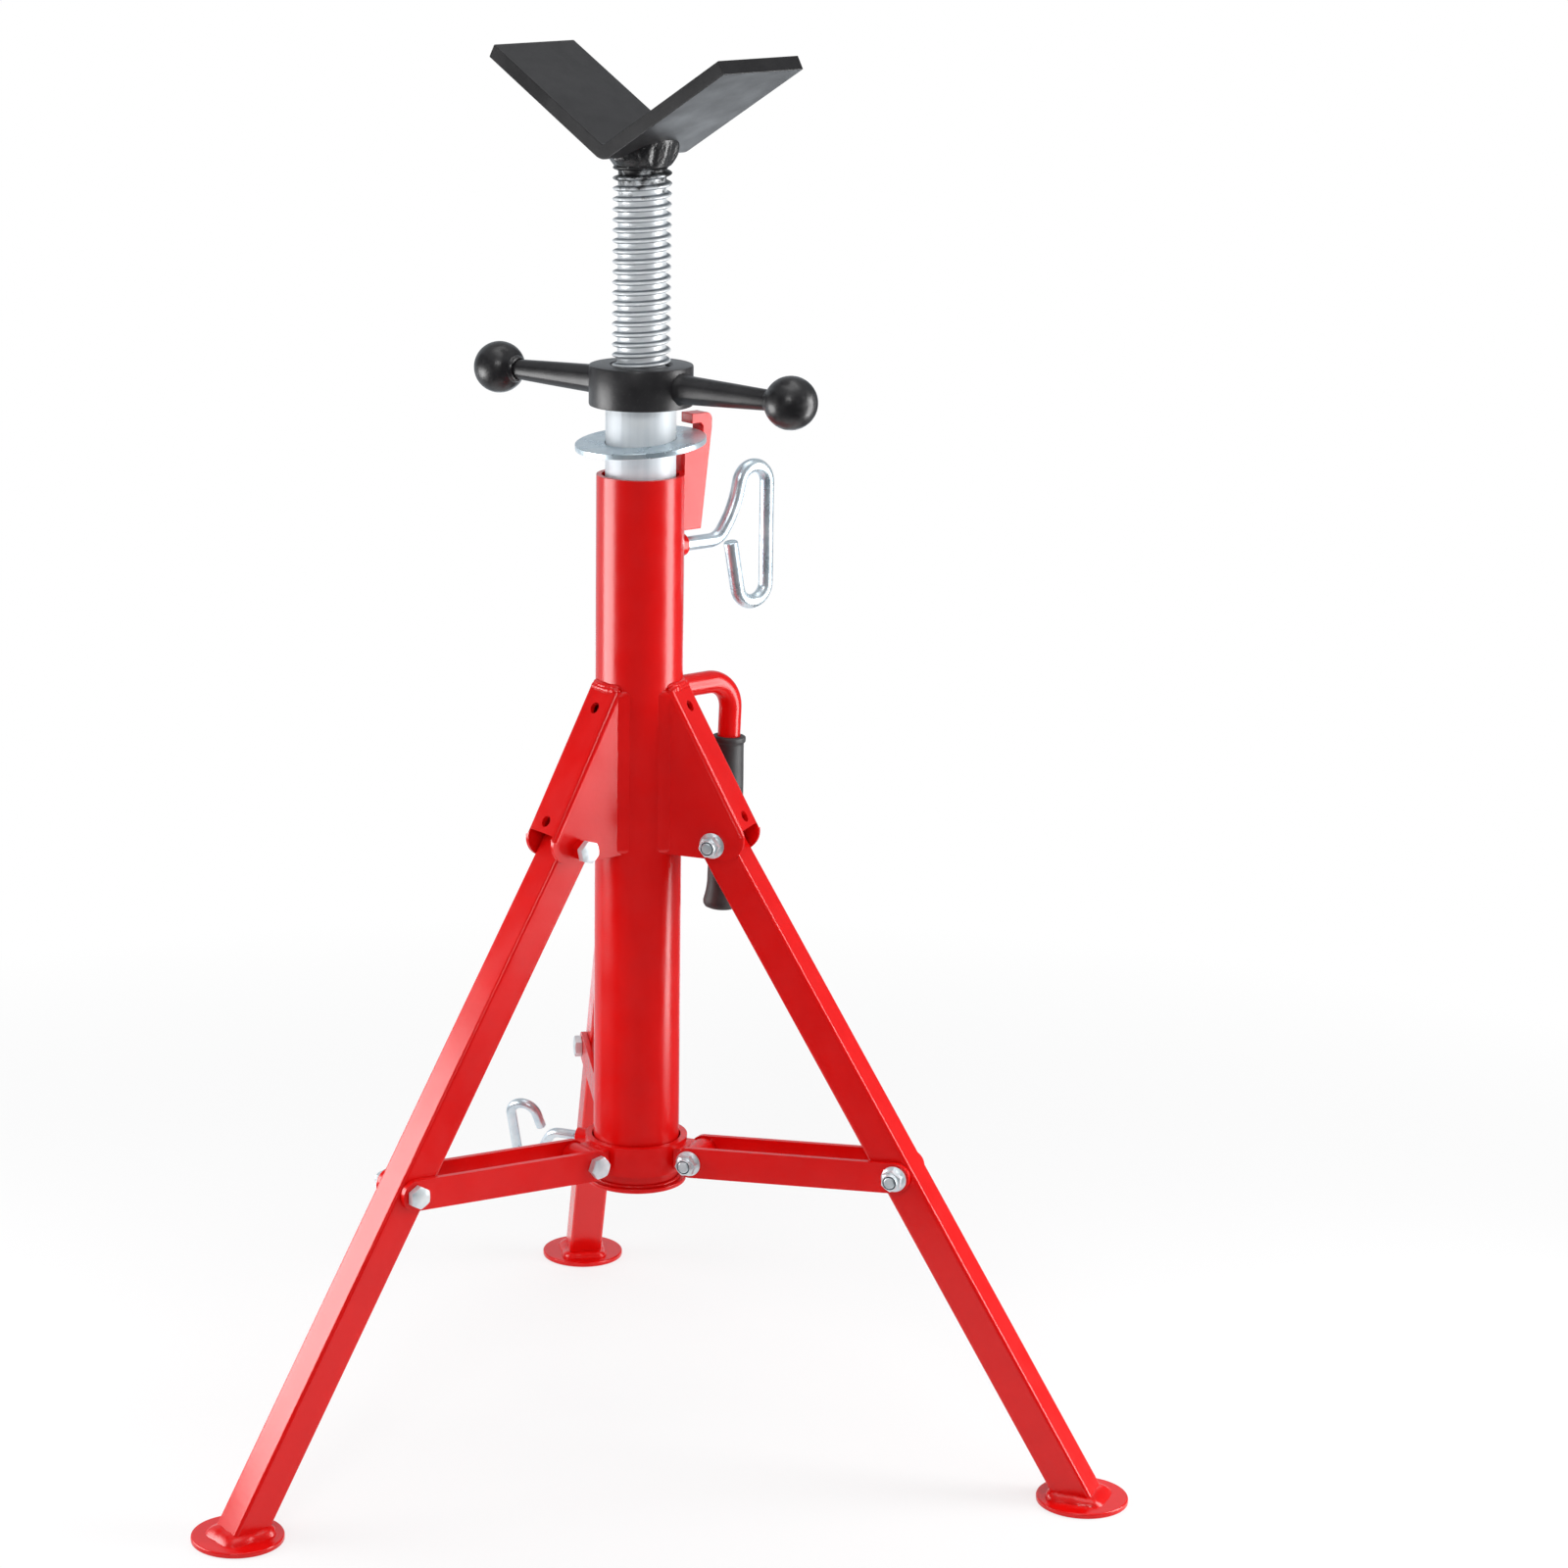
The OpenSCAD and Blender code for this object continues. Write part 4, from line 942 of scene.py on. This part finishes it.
def make_pin(name, az, tip_x, z, radius, straight, steps, spin, body):
    """Pull pin: a tapered tip, a straight shank, and its loop bent in one plane."""
    taper = radius / 4
    points = [Vector((0, 0, 0)), Vector((0.4, 0, 0)), Vector((taper + 0.8, 0, 0))]
    radii = [radius - taper - 0.3, radius - taper, radius]
    points += [Vector((straight * t, 0, 0)) for t in (0.3, 0.5, 0.75, 0.95)]
    radii += [radius] * 4
    loop = rod_path(steps)
    points += [Vector((straight + px, 0, pz)) for px, pz in loop]
    radii += [radius] * len(loop)
    direction = (points[-1] - points[-2]).normalized()
    points += [points[-1] + direction * 0.5, points[-1] + direction * 0.9]
    radii += [radius - 0.25, radius - 0.8]
    matrix = place_at(az, tip_x, 0, z) @ Matrix.Rotation(math.radians(spin), 4, "X")
    shape = Shape().add(*sweep(points, radii, 28), matrix)
    make_piece(name + "_rod", shape, "zinc_plate", body, (name,), 40)


def make_handle():
    """Bent rod of the carrying handle, and the grip on its lower end."""
    turned = 90 + GRIP_LEAN
    reach = HANDLE_OUT - HANDLE_BEND_R - COLUMN_BORE_R
    down = GRIP_DROP + GRIP_LEN - HANDLE_BEND_R - 12
    path = rod_path([(reach,), (HANDLE_BEND_R, -turned), (down,)], 4)
    points = [Vector((COLUMN_BORE_R + 1 + x, 0, z)) for x, z in path]
    shape = Shape().add(*sweep(points, [HANDLE_R] * len(points), 40), place_at(PIN_AZ, -1, 0, HANDLE_Z))
    make_piece("carry_handle_rod", shape, "red_paint", "column", ("carry_handle",), 40)

    collar, waist, belly, end = 11.9, 10.7, 12.0, 12.9
    rings = [(0, -6), (HANDLE_R + 0.05, -6), (HANDLE_R + 0.05, -0.5), (HANDLE_R + 0.6, 0),
             (collar - 0.9, 0), (collar - 0.2, -0.5), (collar, -1.2), (collar, -3.4),
             (collar - 0.3, -4.1), (waist + 0.1, -4.9), (waist, -6)]
    body_len, steps = GRIP_LEN - 6, 12
    for i in range(1, steps + 1):
        t = i / steps
        rings.append((waist + (belly - waist) * math.sin(math.pi * min(1, t * 1.15)) ** 1.3,
                      -6 - t * (body_len - 19)))
    rings += [(waist + 0.5, -GRIP_LEN + 14), (end - 0.9, -GRIP_LEN + 9.5), (end, -GRIP_LEN + 6),
              (end - 0.1, -GRIP_LEN + 3.5), (end - 1.4, -GRIP_LEN + 1.4), (end - 4, -GRIP_LEN + 0.3),
              (end - 8, -GRIP_LEN), (0, -GRIP_LEN)]
    matrix = (place_at(PIN_AZ, HANDLE_OUT - HANDLE_BEND_R, 0, HANDLE_Z - HANDLE_BEND_R)
              @ Matrix.Rotation(math.radians(turned - 90), 4, "Y")
              @ Matrix.Translation((HANDLE_BEND_R, 0, HANDLE_BEND_R - GRIP_DROP)))
    grip = Shape().add(*lathe(rings), matrix)
    make_piece("handle_grip_sleeve", grip, "grip_rubber", "column", ("handle_grip",), 50)


# Welds

def bead(shape, points, radius, seed, closed=False, pitch=2.6, rough=0.16):
    """Weld bead along points: overlapping ripples of uneven size."""
    chance = random.Random(seed)
    points = [Vector(p) for p in points]
    loop = points + [points[0]] if closed else points
    lengths = [(b - a).length for a, b in zip(loop, loop[1:])]
    total = sum(lengths)
    count = max(8, int(total / 0.55))
    waves = [(chance.uniform(0, 6.28), chance.uniform(0.6, 2.4), chance.uniform(0.3, 1))
             for _ in range(4)]
    spine, radii = [], []
    for i in range(count if closed else count + 1):
        s = total * i / count
        k, left = 0, s
        while k < len(lengths) - 1 and left > lengths[k]:
            left -= lengths[k]
            k += 1
        p = loop[k].lerp(loop[k + 1], min(1.0, left / max(lengths[k], 1e-6)))
        spine.append(p)
        ripple = 1 - 0.13 * ((s / pitch) % 1.0)
        wave = sum(size * math.sin(2 * math.pi * round(rate * total / 25) * s / total + phase)
                   for phase, rate, size in waves) / 4
        end = 1.0
        if not closed:
            end = math.sqrt(min(1.0, max(0.05, min(s, total - s) / (1.2 * radius))))
        radii.append(radius * ripple * (1 + rough * wave) * end)
    shape.add(*sweep(spine, radii, 12, closed, BEAD_FLAT))


def on_column(az, y, z, radius=COLUMN_R):
    """Point of the column's surface, y to the side of an azimuth."""
    return place_at(az) @ Vector((math.sqrt(radius ** 2 - y ** 2), y, z))


def ring_on_column(az, z, ring, radius=COLUMN_R, count=40):
    """Where a round bar of radius ring meets the column."""
    angles = [2 * math.pi * i / count for i in range(count)]
    return [on_column(az, ring * math.cos(a), z + ring * math.sin(a), radius) for a in angles]


def web_x(z):
    """Distance out of a bracket's leaning web at a height, on its outer face."""
    lean = math.radians(WEB_LEAN)
    return PIVOT_OUT + WEB_OUT * math.cos(lean) - (z - PIVOT_Z - WEB_OUT * math.sin(lean)) * math.tan(lean)


def make_pin_boss():
    """Short boss round the height pin, with a soft outer edge and its inner end in the column."""
    start = BOSS_START - BOSS_END
    rings = [(PIN_R + 0.5, start), (PIN_BOSS_R, start), (PIN_BOSS_R, -1.6), (PIN_BOSS_R - 0.3, -0.6),
             (PIN_BOSS_R - 1.1, 0), (PIN_R + 1.0, 0), (PIN_R + 0.5, -0.6)]
    shape = Shape().add(*lathe(rings, closed=True), place_at(PIN_AZ, BOSS_END, 0, PIN_Z) @ ALONG_X)
    make_piece("height_pin_boss_sleeve", shape, "red_paint", "column", ("height_pin_boss",), 40)


def cheek_fillet(shape, az, side, seed):
    """Smooth weld fillet between a bracket's cheek and the column."""
    chance = random.Random(seed)
    phase = chance.uniform(0, 6.28)
    low, high, rows, per = CHEEK_LOW + 0.3, BRACKET_TOP + 0.5, 90, 9
    corner_x = math.sqrt(COLUMN_R ** 2 - CHEEK_OUT ** 2)
    corner_a = math.atan2(CHEEK_OUT, corner_x)
    verts = []
    for i in range(rows + 1):
        z = low + (high - low) * i / rows
        inside_x = web_x(z) - SHEET_T
        wave = 0.16 * math.sin(z / 6.3 + phase) + 0.07 * math.sin(z / 2.6 + 2 * phase)
        ripple = 0.05 * abs(math.sin(z * math.pi / 2.8))
        end = math.sqrt(min(1.0, max(0.02, min(z - low, high - z) / 3.0)))
        on_cheek = max(0.5, min(5.0 + wave, inside_x - corner_x)) * end
        on_tube = (5.0 - wave) * end / COLUMN_R
        start = Vector((corner_x + on_cheek, CHEEK_OUT - 0.15))
        a = corner_a + on_tube
        finish = Vector(((COLUMN_R - 0.15) * math.cos(a), (COLUMN_R - 0.15) * math.sin(a)))
        out = Vector((finish.y - start.y, start.x - finish.x)).normalized()
        for k in range(7):
            t = k / 6
            p = start.lerp(finish, t) + out * (0.25 + ripple) * math.sin(math.pi * t) * end
            verts.append((p.x, side * p.y, z))
        verts.append((corner_x - 1.5, side * (CHEEK_OUT - 0.6), z))
        verts.append((corner_x + 0.4, side * (CHEEK_OUT - 1.0), z))
    faces = grid_faces(rows + 1, per) + grid_ends(rows + 1, per)
    shape.add(verts, faces, turn(az))


def foot_skirt(shape, az, seed):
    """Weld all round a leg's lower end: a soft lumpy skirt between the leaning tube and the plate."""
    chance = random.Random(seed)
    waves = [(rate, chance.uniform(0, 6.28), chance.uniform(0.4, 1)) for rate in (2, 3, 5, 8)]
    lean = math.radians(LEG_LEAN)
    centre = FOOT_OUT - FOOT_T * math.tan(lean)
    long, wide, corner = LEG_W / 2 / math.cos(lean), LEG_W / 2, 2.5
    base = []
    for cx, cy, start in ((1, 1, 0), (-1, 1, 90), (-1, -1, 180), (1, -1, 270)):
        for i in range(6):
            a = math.radians(start + 18 * i)
            out = Vector((math.cos(a), math.sin(a), 0))
            base.append((Vector((cx * (long - corner), cy * (wide - corner), 0)) + corner * out, out))
    stations = []
    for (p, n), (q, m) in zip(base, base[1:] + base[:1]):
        count = max(1, round((q - p).length / 1.2))
        stations += [(p.lerp(q, i / count), n.lerp(m, i / count).normalized()) for i in range(count)]
    verts = []
    for i, (p, out) in enumerate(stations):
        a = 2 * math.pi * i / len(stations)
        wave = sum(size * math.sin(rate * a + phase) for rate, phase, size in waves) / 3
        width, height = 5.6 + 0.9 * wave, 5.0 + 0.9 * wave
        ripple = 0.10 * abs(math.sin(a * 9 + 0.8 * math.sin(2 * a)))
        low = p + out * width
        top = p + Vector((-height * math.tan(lean), 0, height)) - 0.3 * out
        side = (top - low).cross(out.cross(Vector((0, 0, 1)))).normalized()
        if side.z < 0:
            side = -side
        for k in range(7):
            t = k / 6
            verts.append(low.lerp(top, t) + side * (0.9 + ripple) * math.sin(math.pi * t) ** 0.8)
        verts.append(p + Vector((-height * math.tan(lean), 0, height)) - 1.2 * out)
        verts.append(p - 1.2 * out + Vector((0, 0, -0.4)))
    shape.add(verts, grid_faces(len(stations), 9, closed=True), place_at(az, centre, 0, FOOT_T))


def make_welds():
    """Welds of the column, the collar's boss and the feet."""
    column = Shape()
    edge_x = web_x(BRACKET_TOP)
    for number, az in enumerate(LEG_AZS):
        for side in (-1, 1):
            cheek_fillet(column, az, side, 20 + number * 2 + side)
        # The weld on the cut end of the sheet, and a second pass where it meets the column
        end, seam = [], []
        for i in range(25):
            y = (CHEEK_OUT - 1.5) * (i / 12 - 1)
            round_off = max(0.0, abs(y) - 11.0) ** 2 * 0.13
            x = math.sqrt(COLUMN_R ** 2 - y ** 2)
            end.append(place_at(az) @ Vector(((x + edge_x) / 2 - 0.3 - round_off, y, BRACKET_TOP + 0.2)))
            seam.append(place_at(az) @ Vector((x + 0.2, y * 0.97, BRACKET_TOP + 2.3)))
        bead(column, end, 3.3, 40 + number, rough=0.2, pitch=3.6)
        bead(column, seam, 2.6, 50 + number, rough=0.3, pitch=3.4)
    stop = [(COLUMN_R + 0.6) * Vector((math.cos(a), math.sin(a), 0)) + Vector((0, 0, COLUMN_LOW + 3.4))
            for a in (2 * math.pi * i / 90 for i in range(90))]
    bead(column, stop, 1.7, 60, closed=True)
    bead(column, ring_on_column(PIN_AZ, PIN_Z, 8.2), 1.9, 61, closed=True)
    bead(column, ring_on_column(PIN_AZ, HANDLE_Z, 8.2), 2.4, 62, closed=True, rough=0.22)
    for side in (-1, 1):
        line = [on_column(PIN_AZ, side * (HOOK_HALF + 0.3), HOOK_LOW + t * 2) for t in range(20)]
        bead(column, line, 2.0, 63 + side, rough=0.22)
    foot_line = [on_column(PIN_AZ, y, HOOK_LOW - 0.5) for y in (-6, -3, 0, 3, 6)]
    bead(column, foot_line, 2.0, 66)
    make_piece("column_welds", column, "red_weld", "column", (), 70)

    boss = Shape()
    bead(boss, ring_on_column(COLLAR_PIN_AZ, COLLAR_PIN_Z, 6.2, COLLAR_R, 30), 1.5, 70, closed=True)
    make_piece("collar_welds", boss, "red_weld", "collar", (), 70)

    for number, az in enumerate(LEG_AZS, 1):
        ring = Shape()
        foot_skirt(ring, az, 80 + number)
        make_piece(f"foot_weld_{number}", ring, "red_weld", f"leg_{number}", (), 70)


# Everything in its place

make_camera()
make_world()
make_stage()

MATS = {
    "red_paint": red_paint("red_paint"),
    "red_weld": red_paint("red_weld", lumps=0.14),
    "black_paint": black_paint(),
    "black_casting": black_casting(),
    "black_knob": black_knob(),
    "black_weld": black_weld(),
    "grip_rubber": grip_rubber(),
    "zinc_plate": zinc("zinc_plate", (0.72, 0.81, 0.86), (0.48, 0.60, 0.68), (0.24, 0.36), 0.7, 60),
    "zinc_tube": zinc("zinc_tube", (0.78, 0.82, 0.85), (0.66, 0.71, 0.75), (0.44, 0.56), 0.06, 120,
                      (1, 1, 0.05), 0.22),
    "zinc_bolt": zinc("zinc_bolt", (0.74, 0.79, 0.82), (0.58, 0.65, 0.69), (0.30, 0.42), 0.55, 130),
    "thread_zinc": thread_zinc(),
    "nut_plastic": nut_plastic(),
}

for name, finish, width, count in DRESSED:
    for node_name in [f"{name}_{number}" for number in range(1, count + 1)] or [name]:
        dress(node_name, finish, width, BRACKET_TOP if name == "bracket" else None)

make_fasteners()
make_nut_and_knobs()
make_screw()
make_head_weld()
make_pin("height_pin", PIN_AZ, PIN_TIP, PIN_Z, PIN_R, PIN_STRAIGHT, HEIGHT_LOOP, 0, "height_lock")
make_pin("collar_pin", COLLAR_PIN_AZ, COLLAR_PIN_TIP, COLLAR_PIN_Z, COLLAR_PIN_R,
         COLLAR_PIN_STRAIGHT, COLLAR_LOOP, COLLAR_LOOP_TURN, "collar_lock")
make_handle()
make_pin_boss()
make_welds()

SCENE.view_settings.view_transform = "Standard"
